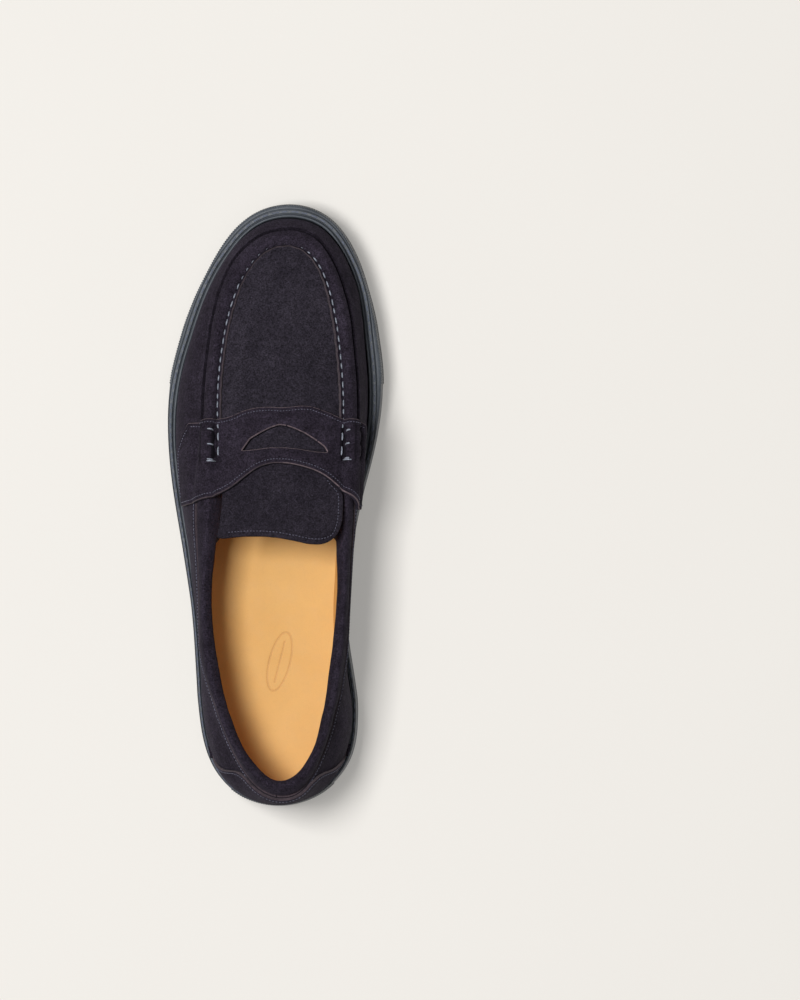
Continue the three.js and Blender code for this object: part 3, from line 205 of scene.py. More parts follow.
def station_of_y(y, side):
    s = 1 + (np.asarray(y, float) - HEEL_Y) / (TOE_Y - HEEL_Y) * 2
    return np.where(side < 0, s, 8 - s)


def soften(P, sigma):
    n = len(P)
    k = np.fft.rfftfreq(n)
    g = np.exp(-2 * (np.pi * k * sigma) ** 2).reshape([-1] + [1] * (P.ndim - 1))
    return np.fft.irfft(np.fft.rfft(P, axis=0) * g, n=n, axis=0)


def ring3(R):
    v = ring(R, TS)
    return np.concatenate([plan(TS, v[:, 0]), v[:, 1:]], -1)


RF, RI = ring(RING_F, TS), ring(RING_I, TS)
xyL = plan(TS, RF[:, 0] - 0.8)
KNOTS = np.stack([
    np.column_stack([xyL, bed_z(xyL[:, 1])]), ring3(RING_F), ring3(RING_B), ring3(RING_M), ring3(RING_E), ring3(RING_C), ring3(RING_I),
    np.column_stack([plan(TS, RI[:, 0] + 0.5), RI[:, 1] - 6]), np.column_stack([plan(TS, RI[:, 0] + 1.2), RI[:, 1] - 13])], 1)
KNOTS = soften(KNOTS, 4)
# along waist and ball the leather is lasted tight, so the welt shows its full width
nip = ease(-45, -15, KNOTS[:, 1, 1]) * ease(112, 85, KNOTS[:, 1, 1]) * np.where(KNOTS[:, 1, 0] > SPINE_X, 1.15, 1.1)
inw_ = np.column_stack([np.full(NT, SPINE_X), centre_y(TS)]) - KNOTS[:, 1, :2]
inw_ /= np.linalg.norm(inw_, axis=-1, keepdims=True)
for k_, share in ((0, 1.0), (1, 1.0), (2, 1.0), (3, 0.45)):
    KNOTS[:, k_, :2] += inw_ * (nip * share)[:, None]
NH = 161
HS = np.linspace(-1, 7, NH)


def through(K, q):
    """Point at q (0..n-1) of the smooth line through knots K[..., n, 3], each at its own distance."""
    n = K.shape[-2]
    i = np.minimum(np.floor(q).astype(int), n - 2)
    f = (q - i)[..., None]
    take = lambda j: np.take_along_axis(K, np.clip(j, 0, n - 1)[..., None, None], -2)[..., 0, :]
    p0, p1, p2, p3 = take(i - 1), take(i), take(i + 1), take(i + 2)
    d0, d1, d2 = [np.maximum(np.linalg.norm(b - a, axis=-1, keepdims=True), 1e-6) for a, b in ((p0, p1), (p1, p2), (p2, p3))]
    s1 = (p2 - p1) / d1
    m1 = np.where((i > 0)[..., None], ((p1 - p0) / d0 * d1 + s1 * d0) / (d0 + d1), s1)
    m2 = np.where((i < n - 2)[..., None], (s1 * d2 + (p3 - p2) / d2 * d1) / (d1 + d2), s1)
    f2, f3 = f * f, f * f * f
    return (2 * f3 - 3 * f2 + 1) * p1 + (f3 - 2 * f2 + f) * d1 * m1 + (-2 * f3 + 3 * f2) * p2 + (f3 - f2) * d1 * m2


WALL = np.stack([through(KNOTS, np.full(NT, h + 1.0)) for h in HS], 1)
ARC = np.concatenate([np.zeros((NT, 1)), np.cumsum(np.linalg.norm(np.diff(WALL, axis=1), axis=-1), 1)], 1)
NORM = unit(np.cross(np.gradient(WALL, axis=1), np.roll(WALL, -1, 0) - np.roll(WALL, 1, 0)))


def cr(f):
    f2, f3 = f * f, f * f * f
    return [0.5 * (-f + 2 * f2 - f3), 0.5 * (2 - 5 * f2 + 3 * f3), 0.5 * (f + 4 * f2 - 3 * f3), 0.5 * (f3 - f2)]


def look(G, t, h):
    """Smooth value of the ring grid G at stations t and heights h."""
    t, h = np.broadcast_arrays(np.asarray(t, float), np.asarray(h, float))
    u = (t % 8) / 8 * NT
    v = np.clip((h + 1) / 8, 0, 1) * (NH - 1)
    i = np.floor(u).astype(int)
    j = np.clip(np.floor(v).astype(int), 0, NH - 2)
    wu, wv = cr(u - i), cr(v - j)
    out = 0
    for a in range(4):
        for b in range(4):
            w = wu[a] * wv[b]
            g = G[(i + a - 1) % NT, np.clip(j + b - 1, 0, NH - 1)]
            out = out + (g * w[..., None] if G.ndim > 2 else g * w)
    return out


def wall(t, h, d=0.0):
    P = look(WALL, t, h)
    if np.isscalar(d) and d == 0:
        return P
    return P + unit(look(NORM, t, h)) * np.asarray(d)[..., None]


def height(t, s, ref):
    """The h that lies s mm up the wall from height ref."""
    t, s = np.broadcast_arrays(np.asarray(t, float), np.asarray(s, float))
    out = np.zeros(t.shape)
    for k in np.ndindex(t.shape[0]):
        tk = t[k].ravel()
        a = look(ARC, np.full(NH, tk[0]), HS)
        base = np.interp(ref, HS, a)
        out[k] = np.interp(base + s[k], a, HS)
    return out


def knot(k, t):
    """Ring line k (0 corner, 1 feather, ... 6 seam) at stations t."""
    t = np.asarray(t, float)
    u = (t % 8) / 8 * NT
    i = np.floor(u).astype(int)
    w = cr(u - i)
    return sum(KNOTS[(i + a - 1) % NT, k] * w[a][..., None] for a in range(4))


# ---------- meshes ----------
def make(name, V, faces, mats, body="shoe", stands_for=(), slot=None, weld=0.0):
    me = bpy.data.meshes.new(name)
    V = (np.asarray(V, float) + SHIFT) * 0.001
    loops, starts, mi, n = [], [], [], 0
    for idx, m in faces:
        idx = np.asarray(idx, int)
        if not len(idx):
            continue
        k = idx.shape[1]
        loops.append(idx.ravel())
        starts.append(n + np.arange(len(idx)) * k)
        mi.append(np.broadcast_to(np.asarray(m, int), (len(idx),)))
        n += idx.size
    loops, starts, mi = np.concatenate(loops), np.concatenate(starts), np.concatenate(mi)
    me.vertices.add(len(V))
    me.vertices.foreach_set("co", V.astype(np.float32).ravel())
    me.loops.add(len(loops))
    me.loops.foreach_set("vertex_index", loops.astype(np.int32))
    me.polygons.add(len(starts))
    me.polygons.foreach_set("loop_start", starts.astype(np.int32))
    me.polygons.foreach_set("material_index", mi.astype(np.int32))
    me.polygons.foreach_set("use_smooth", np.ones(len(starts), bool))
    for m in mats:
        me.materials.append(m)
    me.update(calc_edges=True)
    me.validate()
    if body or stands_for:      # faces look outward: a negative enclosed volume means the grid ran the other way round
        vol = 0.0
        for idx, _ in faces:
            idx = np.asarray(idx, int)
            for j in range(1, idx.shape[1] - 1 if len(idx) else 0):
                vol += np.einsum("ij,ij->i", V[idx[:, 0]], np.cross(V[idx[:, j]], V[idx[:, j + 1]])).sum()
        if vol < 0:
            me.flip_normals()
    if weld:
        import bmesh

        bm = bmesh.new()
        bm.from_mesh(me)
        bmesh.ops.remove_doubles(bm, verts=bm.verts, dist=weld)
        bmesh.ops.recalc_face_normals(bm, faces=bm.faces)
        bm.to_mesh(me)
        bm.free()
    o = bpy.data.objects.new(name, me)
    bpy.context.scene.collection.objects.link(o)
    if body:
        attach(o, body)
    if stands_for:
        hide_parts(*stands_for)
    return o


def quads(ni, nj, off=0, ci=False, cj=False, flip=False):
    i, j = np.meshgrid(np.arange(ni if ci else ni - 1), np.arange(nj if cj else nj - 1), indexing="ij")
    i, j = i.ravel(), j.ravel()
    a, b = (i + 1) % ni, (j + 1) % nj
    q = np.stack([i * nj + j, a * nj + j, a * nj + b, i * nj + b], 1) + off
    return q[:, ::-1] if flip else q


def grid_normals(P, ci=False):
    di = np.roll(P, -1, 0) - np.roll(P, 1, 0) if ci else np.gradient(P, axis=0)
    return unit(np.cross(np.gradient(P, axis=1), di))


def slab_arrays(P, th, edges=(None, None, None, None), N=None):
    """Adds bevel rows at the edges. edges are (i start, i end, j start, j end): None or (width, drop, raw)."""
    th = np.broadcast_to(np.asarray(th, float), P.shape[:2]).copy()
    drop, raw = np.zeros(P.shape[:2]), np.zeros(P.shape[:2], bool)
    for ax in (0, 1):
        for end in (0, 1):
            e = edges[ax * 2 + end]
            if e is None:
                continue
            w, dr, israw = e
            arrays = [np.moveaxis(a, ax, 0) for a in (P, th, drop, raw)]
            if end:
                arrays = [a[::-1] for a in arrays]
            p, t, d, r = arrays
            T = unit(p[1] - p[0])
            p = np.concatenate([[p[0], p[0] + T * w * 0.4, p[0] + T * w], p[1:]])
            t = np.concatenate([[t[0]] * 3, t[1:]])
            d = np.concatenate([[np.maximum(d[0], dr), np.maximum(d[0], dr * 0.28), d[0]], d[1:]])
            m = np.full(r[0].shape, bool(israw))
            r = np.concatenate([[r[0] | m, r[0] | m, r[0] | m], r[1:]])
            arrays = [p, t, d, r]
            if end:
                arrays = [a[::-1] for a in arrays]
            P, th, drop, raw = [np.moveaxis(a, 0, ax) for a in arrays]
    return P, th, drop, raw


def slab(name, P, th, mats, edges=(None,) * 4, under=0, closed=False, paint=None, **kw):
    """A panel of leather: P is its outer face as a grid, th its thickness. Bevelled, with raw cut edges."""
    P, th, drop, raw = slab_arrays(P, th, edges)
    N = grid_normals(P, closed)
    O, I = P - N * drop[..., None], P - N * th[..., None]
    ni, nj = P.shape[:2]
    V = np.concatenate([O.reshape(-1, 3), I.reshape(-1, 3)])
    n = ni * nj
    q = quads(ni, nj, 0, ci=closed)
    rawq = raw.ravel()[q].all(1).astype(int)
    if paint is not None:                       # a grid of the sheet before its last edge was bevelled
        full = np.zeros((ni, nj), bool)
        full[:, :paint.shape[1]] = paint
        rawq = np.where(full.ravel()[q].all(1) & (rawq == 0), 3, rawq)
    qi = quads(ni, nj, n, ci=closed, flip=True)
    i = np.arange(ni if closed else ni - 1)
    a = (i + 1) % ni
    e0 = np.stack([i * nj, n + i * nj, n + a * nj, a * nj], 1)
    e1 = np.stack([i * nj + nj - 1, a * nj + nj - 1, n + a * nj + nj - 1, n + i * nj + nj - 1], 1)
    israw = lambda e: 1 if e is not None and e[2] else 0
    faces = [(q, rawq), (qi, under), (e0, israw(edges[2])), (e1, israw(edges[3]))]
    if not closed:
        j = np.arange(nj - 1)
        b = (ni - 1) * nj
        faces += [(np.stack([j, j + 1, n + j + 1, n + j], 1), israw(edges[0])), (np.stack([b + j, n + b + j, n + b + j + 1, b + j + 1], 1), israw(edges[1]))]
    return make(name, V, faces, mats, **kw)


def resample(P, step=None, count=None, closed=False):
    P = np.asarray(P, float)
    if closed:
        P = np.concatenate([P, P[:1]])
    s = np.concatenate([[0], np.cumsum(np.linalg.norm(np.diff(P, axis=0), axis=-1))])
    n = count or max(int(round(s[-1] / step)), 2)
    q = np.linspace(0, s[-1], n + 1 if closed or not count else n)
    if closed:
        q = q[:-1]
    return np.stack([np.interp(q, s, P[:, k]) for k in range(P.shape[1])], -1)


def inside(poly, q):
    x, y = q[:, 0], q[:, 1]
    out = np.zeros(len(q), bool)
    a, b = poly, np.roll(poly, -1, 0)
    for (x1, y1), (x2, y2) in zip(a, b):
        if y1 == y2:
            continue
        hit = ((y1 > y) != (y2 > y)) & (x < (x2 - x1) * (y - y1) / (y2 - y1) + x1)
        out ^= hit
    return out


def area2(poly):
    a, b = poly, np.roll(poly, -1, 0)
    return 0.5 * np.sum(a[:, 0] * b[:, 1] - b[:, 0] * a[:, 1])


def shifted(loop, d):
    """The closed loop moved sideways by d: to its left, for d above 0."""
    t = unit(np.roll(loop, -1, 0) - np.roll(loop, 1, 0))
    return loop + np.stack([-t[:, 1], t[:, 0]], -1) * d


def cut_sheet(name, loops, surface, d0, d1, mats, step=0.9, width=0.5, drop=0.5, raw=True, under=0, relief=None, extra=None, edge_step=0.6, paint=None, wall_raw=True, shade_mask=None, **kw):
    """A piece of leather cut to closed outlines (the first is the outside, the others are holes) in a flat
    domain, laid on surface(a, b) -> points and normals, from d0 to d1 above it."""
    rings, edges, pts, sdist, n = [], [], [], [], 0
    for k, lp in enumerate(loops):
        lp = resample(lp, step=edge_step, closed=True)
        if (area2(lp) > 0) != (k == 0):
            lp = lp[::-1]
        for m, s in enumerate((0.0, 0.4 * width, width)):
            r = shifted(lp, s)
            pts.append(r)
            sdist.append(np.full(len(r), s))
            i = np.arange(len(r))
            if m != 1:
                edges.append(np.stack([n + i, n + (i + 1) % len(r)], 1))
            if m == 0:
                rings.append((n, len(r), r))
            n += len(r)
    border = np.concatenate([pts[3 * k + 2] for k in range(len(loops))])
    lo, hi = rings[0][2].min(0), rings[0][2].max(0)
    gx, gy = np.arange(lo[0], hi[0], step), np.arange(lo[1], hi[1], step * 0.866)
    X, Y = np.meshgrid(gx, gy)
    X[1::2] += step / 2
    q = np.column_stack([X.ravel(), Y.ravel()])
    if extra is not None:
        q = np.concatenate([q, extra])
    keep = inside(rings[0][2], q)
    for _, _, r in rings[1:]:
        keep &= ~inside(r, q)
    q = q[keep]
    near = np.full(len(q), 1e9)
    for c in range(0, len(border), 64):
        near = np.minimum(near, np.min(np.linalg.norm(q[:, None] - border[None, c:c + 64], axis=-1), 1))
    q = q[near > step * 0.55]
    pts.append(q)
    sdist.append(np.full(len(q), 9.0))
    A = np.concatenate(pts)
    S = np.concatenate(sdist)
    res = delaunay_2d_cdt([Vector(p) for p in A], [tuple(int(v) for v in e) for e in np.concatenate(edges)], [], 0, 1e-7)
    A2 = np.array([[v.x, v.y] for v in res[0]])
    tri = np.array([f for f in res[2] if len(f) == 3])
    src = [v[0] if len(v) else -1 for v in res[3]]
    S2 = np.array([S[k] if k >= 0 else 9.0 for k in src])
    back = {k: i for i, k in enumerate(src) if k >= 0}
    for i, v in enumerate(res[3]):
        for k in v:
            back[k] = i
    c = A2[tri].mean(1)
    keep = inside(rings[0][2], c)
    for _, _, r in rings[1:]:
        keep &= ~inside(r, c)
    tri = tri[keep]
    used = np.unique(tri)
    new = -np.ones(len(A2), int)
    new[used] = np.arange(len(used))
    tri = new[tri]
    A2, S2 = A2[used], S2[used]
    P, N = surface(A2[:, 0], A2[:, 1])
    e = relief(A2[:, 0], A2[:, 1], P) if relief else 0.0
    dr = np.interp(S2, [0, 0.4 * width, width], [drop, drop * 0.28, 0])
    O, I = P + N * (d1 - dr + e)[..., None] if relief else P + N * (d1 - dr)[..., None], P + N * (np.full(len(P), d0) + e)[..., None]
    m = len(P)
    # wind the faces by the normals
    tn = np.cross(O[tri[:, 1]] - O[tri[:, 0]], O[tri[:, 2]] - O[tri[:, 0]])
    flip = np.sum(tn * N[tri[:, 0]], 1) < 0
    tri[flip] = tri[flip][:, ::-1]
    rawf = (S2[tri] <= width + 1e-6).all(1).astype(int) if raw else 0
    if paint:
        c = A2[tri].mean(1)
        rawf = paint(c[:, 0], c[:, 1])
    # painted shade: raw faces inside the mask take the third, darker cut-edge material
    if shade_mask:
        c = A2[tri].mean(1)
        rawf = np.where((rawf > 0) & shade_mask(c[:, 0], c[:, 1]), 2, rawf)
    walls = []
    for start, count, _ in rings:
        i = np.arange(count)
        a = np.array([new[back[start + k]] for k in i])
        b = np.roll(a, -1)
        walls.append(np.stack([a, m + a, m + b, b], 1))
    walls = np.concatenate(walls)
    walls = walls[walls[:, 0] != walls[:, 3]]
    return make(name, np.concatenate([O, I]), [(tri, rawf), (tri[:, ::-1] + m, under), (walls, 1 if raw and wall_raw else 0)], mats, **kw)


def along(P, N=None, closed=False):
    """Length along a line, and functions for its points and normals."""
    Q = np.concatenate([P, P[:1]]) if closed else P
    s = np.concatenate([[0], np.cumsum(np.linalg.norm(np.diff(Q, axis=0), axis=-1))])
    M = None if N is None else (np.concatenate([N, N[:1]]) if closed else N)
    f = lambda q: np.stack([np.interp(q, s, Q[:, k]) for k in range(3)], -1)
    g = lambda q: unit(np.stack([np.interp(q, s, M[:, k]) for k in range(3)], -1))
    return s[-1], f, g


def stitch_mesh(lines, radius, rise, sink, sides=7, steps=9, twist=0.0, flat=1.0):
    """Sewn stitches. lines are (points along one stitch [n,3], normals [n,3]); each is drawn as a thread that
    comes up out of the leather, lies on it and dives back in."""
    V, F = [], []
    v = np.linspace(0, 1, steps)
    lift = np.sin(np.pi * np.clip(v, 0, 1)) ** 0.45
    rad = radius * (0.55 + 0.45 * np.sin(np.pi * v) ** 0.4)
    for n, (P, N) in enumerate(lines):
        L, f, g = along(P, N)
        c, m = f(v * L), g(v * L)
        c = c + m * (lift * (rise + sink) - sink)[:, None]
        t = unit(np.gradient(c, axis=0))
        b = unit(np.cross(t, m))
        u = np.cross(b, t)
        a = np.arange(sides) / sides * 2 * np.pi
        k = 1 + twist * np.cos(2 * (a[None] - v[:, None] * L * 2.6 + n))
        ringv = c[:, None] + (b[:, None] * np.cos(a)[None, :, None] + u[:, None] * (np.sin(a) * flat)[None, :, None]) * (rad[:, None] * k)[..., None]
        off = len(V) * steps * sides
        V.append(ringv.reshape(-1, 3))
        F.append(quads(steps, sides, off, cj=True, flip=True))
    V = np.concatenate(V)
    F = np.concatenate(F)
    caps = []
    for n in range(len(lines)):
        off = n * steps * sides
        caps.append([off + k for k in range(sides)])
        caps.append([off + (steps - 1) * sides + k for k in reversed(range(sides))])
    return V, [(F, 0), (np.array(caps), 0)]


def stitch_line(P, N, pitch, length, phase=0.0, wander=0.0, skip=()):
    """Cuts a line into single stitches."""
    L, f, g = along(P, N)
    out = []
    count = int((L - phase) // pitch)
    for k in range(count):
        if k in skip:
            continue
        a = phase + k * pitch + wander * math.sin(k * 12.9898)
        q = np.linspace(a, min(a + length * (1 + 0.12 * math.sin(k * 78.233)), L), 6)
        m = g(q)
        p = f(q)
        if wander:
            t = unit(np.gradient(p, axis=0))
            p = p + np.cross(t, m) * (wander * 0.5 * math.sin(k * 4.1) * np.linspace(-1, 1, 6))[:, None]
        out.append((p, m))
    return out


# ---------- materials ----------
def lin(r, g, b):
    return tuple([((c / 255) / 12.92 if c / 255 <= 0.04045 else ((c / 255 + 0.055) / 1.055) ** 2.4) for c in (r, g, b)] + [1.0])


class Mat:
    def __init__(self, name, roughness=0.6, specular=0.5, sheen=0.0, sheen_rough=0.5, sheen_tint=(1, 1, 1, 1)):
        self.m = bpy.data.materials.new(name)
        self.m.use_nodes = True
        self.nt = self.m.node_tree
        self.b = self.nt.nodes["Principled BSDF"]
        self.b.inputs["Roughness"].default_value = roughness
        self.b.inputs["Specular IOR Level"].default_value = specular
        self.b.inputs["Sheen Weight"].default_value = sheen
        self.b.inputs["Sheen Roughness"].default_value = sheen_rough
        self.b.inputs["Sheen Tint"].default_value = sheen_tint
        self.co = self.nt.nodes.new("ShaderNodeTexCoord").outputs["Object"]

    def link(self, a, b):
        self.nt.links.new(a, b)

    def noise(self, scale, detail=2.0, rough=0.5, stretch=None, distortion=0.0):
        n = self.nt.nodes.new("ShaderNodeTexNoise")
        n.inputs["Scale"].default_value = scale
        n.inputs["Detail"].default_value = detail
        n.inputs["Roughness"].default_value = rough
        n.inputs["Distortion"].default_value = distortion
        if stretch:
            mp = self.nt.nodes.new("ShaderNodeMapping")
            mp.inputs["Scale"].default_value = stretch
            self.link(self.co, mp.inputs["Vector"])
            self.link(mp.outputs["Vector"], n.inputs["Vector"])
        else:
            self.link(self.co, n.inputs["Vector"])
        return n.outputs["Fac"]

    def cells(self, scale, feature="F1"):
        n = self.nt.nodes.new("ShaderNodeTexVoronoi")
        n.feature = feature
        n.inputs["Scale"].default_value = scale
        self.link(self.co, n.inputs["Vector"])
        return n.outputs["Distance"]

    def ramp(self, fac, stops):
        r = self.nt.nodes.new("ShaderNodeValToRGB")
        el = r.color_ramp.elements
        while len(el) < len(stops):
            el.new(0.5)
        for e, (p, c) in zip(el, stops):
            e.position, e.color = p, c
        self.link(fac, r.inputs["Fac"])
        return r.outputs["Color"]

    def mix(self, a, b, fac, mode="MIX"):
        n = self.nt.nodes.new("ShaderNodeMix")
        n.data_type = "RGBA"
        n.blend_type = mode
        for v, s in ((fac, n.inputs[0]), (a, n.inputs[6]), (b, n.inputs[7])):
            if isinstance(v, (int, float, tuple)):
                s.default_value = v
            else:
                self.link(v, s)
        return n.outputs[2]

    def math(self, op, a, b=0.0):
        n = self.nt.nodes.new("ShaderNodeMath")
        n.operation = op
        for v, s in ((a, n.inputs[0]), (b, n.inputs[1])):
            if isinstance(v, (int, float)):
                s.default_value = v
            else:
                self.link(v, s)
        return n.outputs[0]

    def span(self, fac, a, b, lo, hi):
        n = self.nt.nodes.new("ShaderNodeMapRange")
        n.interpolation_type = "SMOOTHSTEP"
        n.inputs["From Min"].default_value = a
        n.inputs["From Max"].default_value = b
        n.inputs["To Min"].default_value = lo
        n.inputs["To Max"].default_value = hi
        self.link(fac, n.inputs["Value"])
        return n.outputs["Result"]

    def colour(self, c):
        self.link(c, self.b.inputs["Base Color"])

    def rough(self, f):
        self.link(f, self.b.inputs["Roughness"])

    def bump(self, *heights):
        """heights: (output, strength, distance in m)"""
        last = None
        for h, s, d in heights:
            n = self.nt.nodes.new("ShaderNodeBump")
            n.inputs["Strength"].default_value = s
            n.inputs["Distance"].default_value = d
            self.link(h, n.inputs["Height"])
            if last is not None:
                self.link(last, n.inputs["Normal"])
            last = n.outputs["Normal"]
        self.link(last, self.b.inputs["Normal"])


def suede(name, deep, mid, pale, nap=(1, 1, 1), painted_shade_boxes=()):
    m = Mat(name, 0.95, 0.07, sheen=0.03, sheen_rough=0.45, sheen_tint=(0.66, 0.6, 0.85, 1))
    brushed = m.noise(34, 5, 0.62, stretch=nap, distortion=0.8)     # areas where the nap lies differently
    patch_ = m.noise(170, 4, 0.65)
    tuft = m.noise(620, 3, 0.7)
    fibre = m.noise(1450, 2, 0.8)
    c = m.ramp(brushed, [(0.30, deep), (0.50, mid), (0.72, pale)])
    c = m.mix(c, m.ramp(patch_, [(0.32, deep), (0.68, pale)]), 0.40)
    c = m.mix(c, m.ramp(tuft, [(0.3, (0.64, 0.64, 0.64, 1)), (0.7, (1.40, 1.38, 1.43, 1))]), 0.85, "MULTIPLY")
    c = m.mix(c, m.ramp(fibre, [(0.3, (0.25, 0.25, 0.25, 1)), (0.72, (2.3, 2.2, 2.36, 1))]), 0.95, "MULTIPLY")
    if painted_shade_boxes:                                    # painted shade in the pressed creases: boxes (x0, x1, y0, y1) in mm with an amount, darker between soft borders
        sep = m.nt.nodes.new("ShaderNodeSeparateXYZ")
        m.link(m.co, sep.inputs[0])
        X, Y = sep.outputs[0], sep.outputs[1]
        total = None
        for x0, x1, y0, y1, amount in painted_shade_boxes:
            f = None
            for v, a, b, soft in ((X, x0, x1, 0.45), (Y, y0, y1, 1.0)):
                up = m.span(v, (a - soft) / 1000, (a + soft) / 1000, 0, 1)
                down = m.span(v, (b - soft) / 1000, (b + soft) / 1000, 1, 0)
                g = m.math("MULTIPLY", up, down)
                f = g if f is None else m.math("MULTIPLY", f, g)
            f = m.math("MULTIPLY", f, amount)
            total = f if total is None else m.math("MAXIMUM", total, f)
        # near-black painted shade mixed in over the boxes
        c = m.mix(c, (0.0035, 0.003, 0.0042, 1), total)
    m.colour(c)
    m.rough(m.span(brushed, 0.3, 0.7, 0.98, 0.86))
    m.bump((patch_, 0.45, 0.0009), (tuft, 0.5, 0.0006), (fibre, 0.6, 0.00035))
    return m.m


SUEDE_M = suede("suede_navy", (0.0090, 0.0074, 0.0107, 1), (0.0160, 0.0133, 0.0189, 1), (0.029, 0.0246, 0.035, 1), nap=(1, 0.45, 1))
# a darker copy of the navy suede: painted shade for the groove beside the vamp ridge
SUEDE_SHADE = suede("suede_navy_crease_shade", (0.0045, 0.0037, 0.0055, 1), (0.0075, 0.0063, 0.0090, 1), (0.0120, 0.0102, 0.0145, 1))
SUEDE_APRON = suede("suede_navy_apron", (0.0108, 0.0098, 0.0132, 1), (0.0172, 0.0156, 0.0204, 1), (0.0275, 0.0250, 0.0320, 1), nap=(0.8, 0.35, 1))
SUEDE_TOP = suede("suede_navy_smooth", (0.0092, 0.0081, 0.0112, 1), (0.0145, 0.0129, 0.0172, 1), (0.0239, 0.0214, 0.0280, 1), nap=(0.6, 0.4, 1))


def raw_edge(name, lo, hi):
    m = Mat(name, 0.98, 0.1, sheen=0.1, sheen_rough=0.6, sheen_tint=(0.9, 0.8, 0.85, 1))
    f = m.noise(2600, 3, 0.8)
    g = m.noise(420, 2, 0.6)
    c = m.ramp(f, [(0.3, lo), (0.7, hi)])
    c = m.mix(c, m.ramp(g, [(0.35, (0.6, 0.6, 0.62, 1)), (0.65, (1.2, 1.15, 1.15, 1))]), 0.8, "MULTIPLY")
    m.colour(c)
    m.rough(m.span(g, 0.3, 0.7, 1.0, 0.9))
    m.bump((f, 0.7, 0.0004))
    return m.m


RAW = raw_edge("suede_cut_edge", (0.062, 0.046, 0.054, 1), (0.19, 0.145, 0.16, 1))
# a darker copy of the cut-edge colour: painted shade on raw edges that face away from the light
RAW_SHADED = raw_edge("suede_cut_edge_shaded", (0.026, 0.020, 0.026, 1), (0.088, 0.068, 0.080, 1))


def rubber():
    m = Mat("sole_rubber", 0.5, 0.45)
    big = m.noise(45, 3, 0.55)
    fine = m.noise(900, 3, 0.7)
    grit = m.noise(4200, 2, 0.6)
    c = m.ramp(big, [(0.3, lin(59, 64, 71)), (0.7, lin(78, 84, 92))])
    c = m.mix(c, m.ramp(fine, [(0.35, (0.75, 0.77, 0.8, 1)), (0.7, (1.3, 1.28, 1.25, 1))]), 0.7, "MULTIPLY")
    m.colour(c)
    m.rough(m.span(fine, 0.3, 0.7, 0.42, 0.66))
    m.bump((grit, 0.25, 0.00012), (fine, 0.25, 0.0002))
    return m.m


RUBBER = rubber()


def thread_mat(name, dark, pale, rough=0.6):
    m = Mat(name, rough, 0.4, sheen=0.15, sheen_rough=0.4)
    tw = m.noise(2400, 2, 0.6)
    wide = m.noise(300, 2, 0.5)
    c = m.ramp(tw, [(0.3, dark), (0.65, pale)])
    c = m.mix(c, m.ramp(wide, [(0.3, (0.8, 0.8, 0.8, 1)), (0.7, (1.15, 1.15, 1.15, 1))]), 0.8, "MULTIPLY")
    m.colour(c)
    m.rough(m.span(wide, 0.3, 0.7, 0.5, 0.75))
    m.bump((tw, 0.6, 0.0002))
    return m.m


HEAVY = thread_mat("heavy_thread", lin(72, 78, 92), lin(162, 168, 182))
FINE = thread_mat("fine_thread", lin(48, 47, 62), lin(104, 104, 124))
DARK_THREAD = thread_mat("sole_thread", lin(64, 70, 82), lin(104, 112, 132))


def leather(name, lo, mid, hi, rough=0.5, grain=900, sheen=0.0):
    m = Mat(name, rough, 0.16, sheen=sheen)
    cloud = m.noise(28, 4, 0.55)
    mottle = m.noise(190, 3, 0.6)
    pore = m.cells(grain * 1.6)
    g = m.noise(grain, 3, 0.6)
    c = m.ramp(cloud, [(0.3, lo), (0.5, mid), (0.72, hi)])
    c = m.mix(c, m.ramp(mottle, [(0.3, (0.97, 0.962, 0.95, 1)), (0.7, (1.015, 1.015, 1.02, 1))]), 0.8, "MULTIPLY")
    c = m.mix(c, m.ramp(pore, [(0.05, (0.9, 0.87, 0.82, 1)), (0.35, (1, 1, 1, 1))]), 0.6, "MULTIPLY")
    m.colour(c)
    m.rough(m.span(mottle, 0.3, 0.7, rough - 0.08, rough + 0.12))
    m.bump((g, 0.12, 0.00025), (pore, 0.12, 0.00012))
    return m.m


FOOTBED = leather("footbed_leather", (0.640, 0.370, 0.128, 1), (0.668, 0.395, 0.143, 1), (0.692, 0.418, 0.157, 1), rough=0.66)
PRESSED = leather("footbed_pressed", (0.53, 0.29, 0.10, 1), (0.58, 0.325, 0.115, 1), (0.63, 0.36, 0.135, 1), rough=0.42)
LINING = leather("lining_leather", (0.68, 0.355, 0.105, 1), (0.73, 0.395, 0.122, 1), (0.77, 0.43, 0.14, 1), rough=0.6, grain=700)


def plain(name, a, b, scale, rough, bump=0.4, fibre=None):
    m = Mat(name, rough, 0.2)
    n1 = m.noise(scale, 4, 0.65, stretch=fibre)
    n2 = m.noise(scale * 6, 2, 0.6)
    c = m.ramp(n1, [(0.3, a), (0.7, b)])
    c = m.mix(c, m.ramp(n2, [(0.3, (0.8, 0.8, 0.8, 1)), (0.7, (1.2, 1.2, 1.2, 1))]), 0.6, "MULTIPLY")
    m.colour(c)
    m.rough(m.span(n2, 0.3, 0.7, max(rough - 0.08, 0), min(rough + 0.05, 1)))
    m.bump((n2, bump, 0.0004), (n1, bump, 0.0006))
    return m.m


FOAM_M = plain("foam", lin(150, 148, 140), lin(190, 188, 178), 900, 0.95)
BOARD_M = plain("fibreboard", lin(140, 118, 88), lin(178, 155, 120), 400, 0.9, fibre=(1, 0.2, 1))
STIFF_M = plain("stiffener", lin(190, 182, 165), lin(220, 214, 200), 600, 0.85)
FILL_M = plain("midsole_foam", lin(110, 116, 122), lin(146, 150, 155), 800, 0.9)

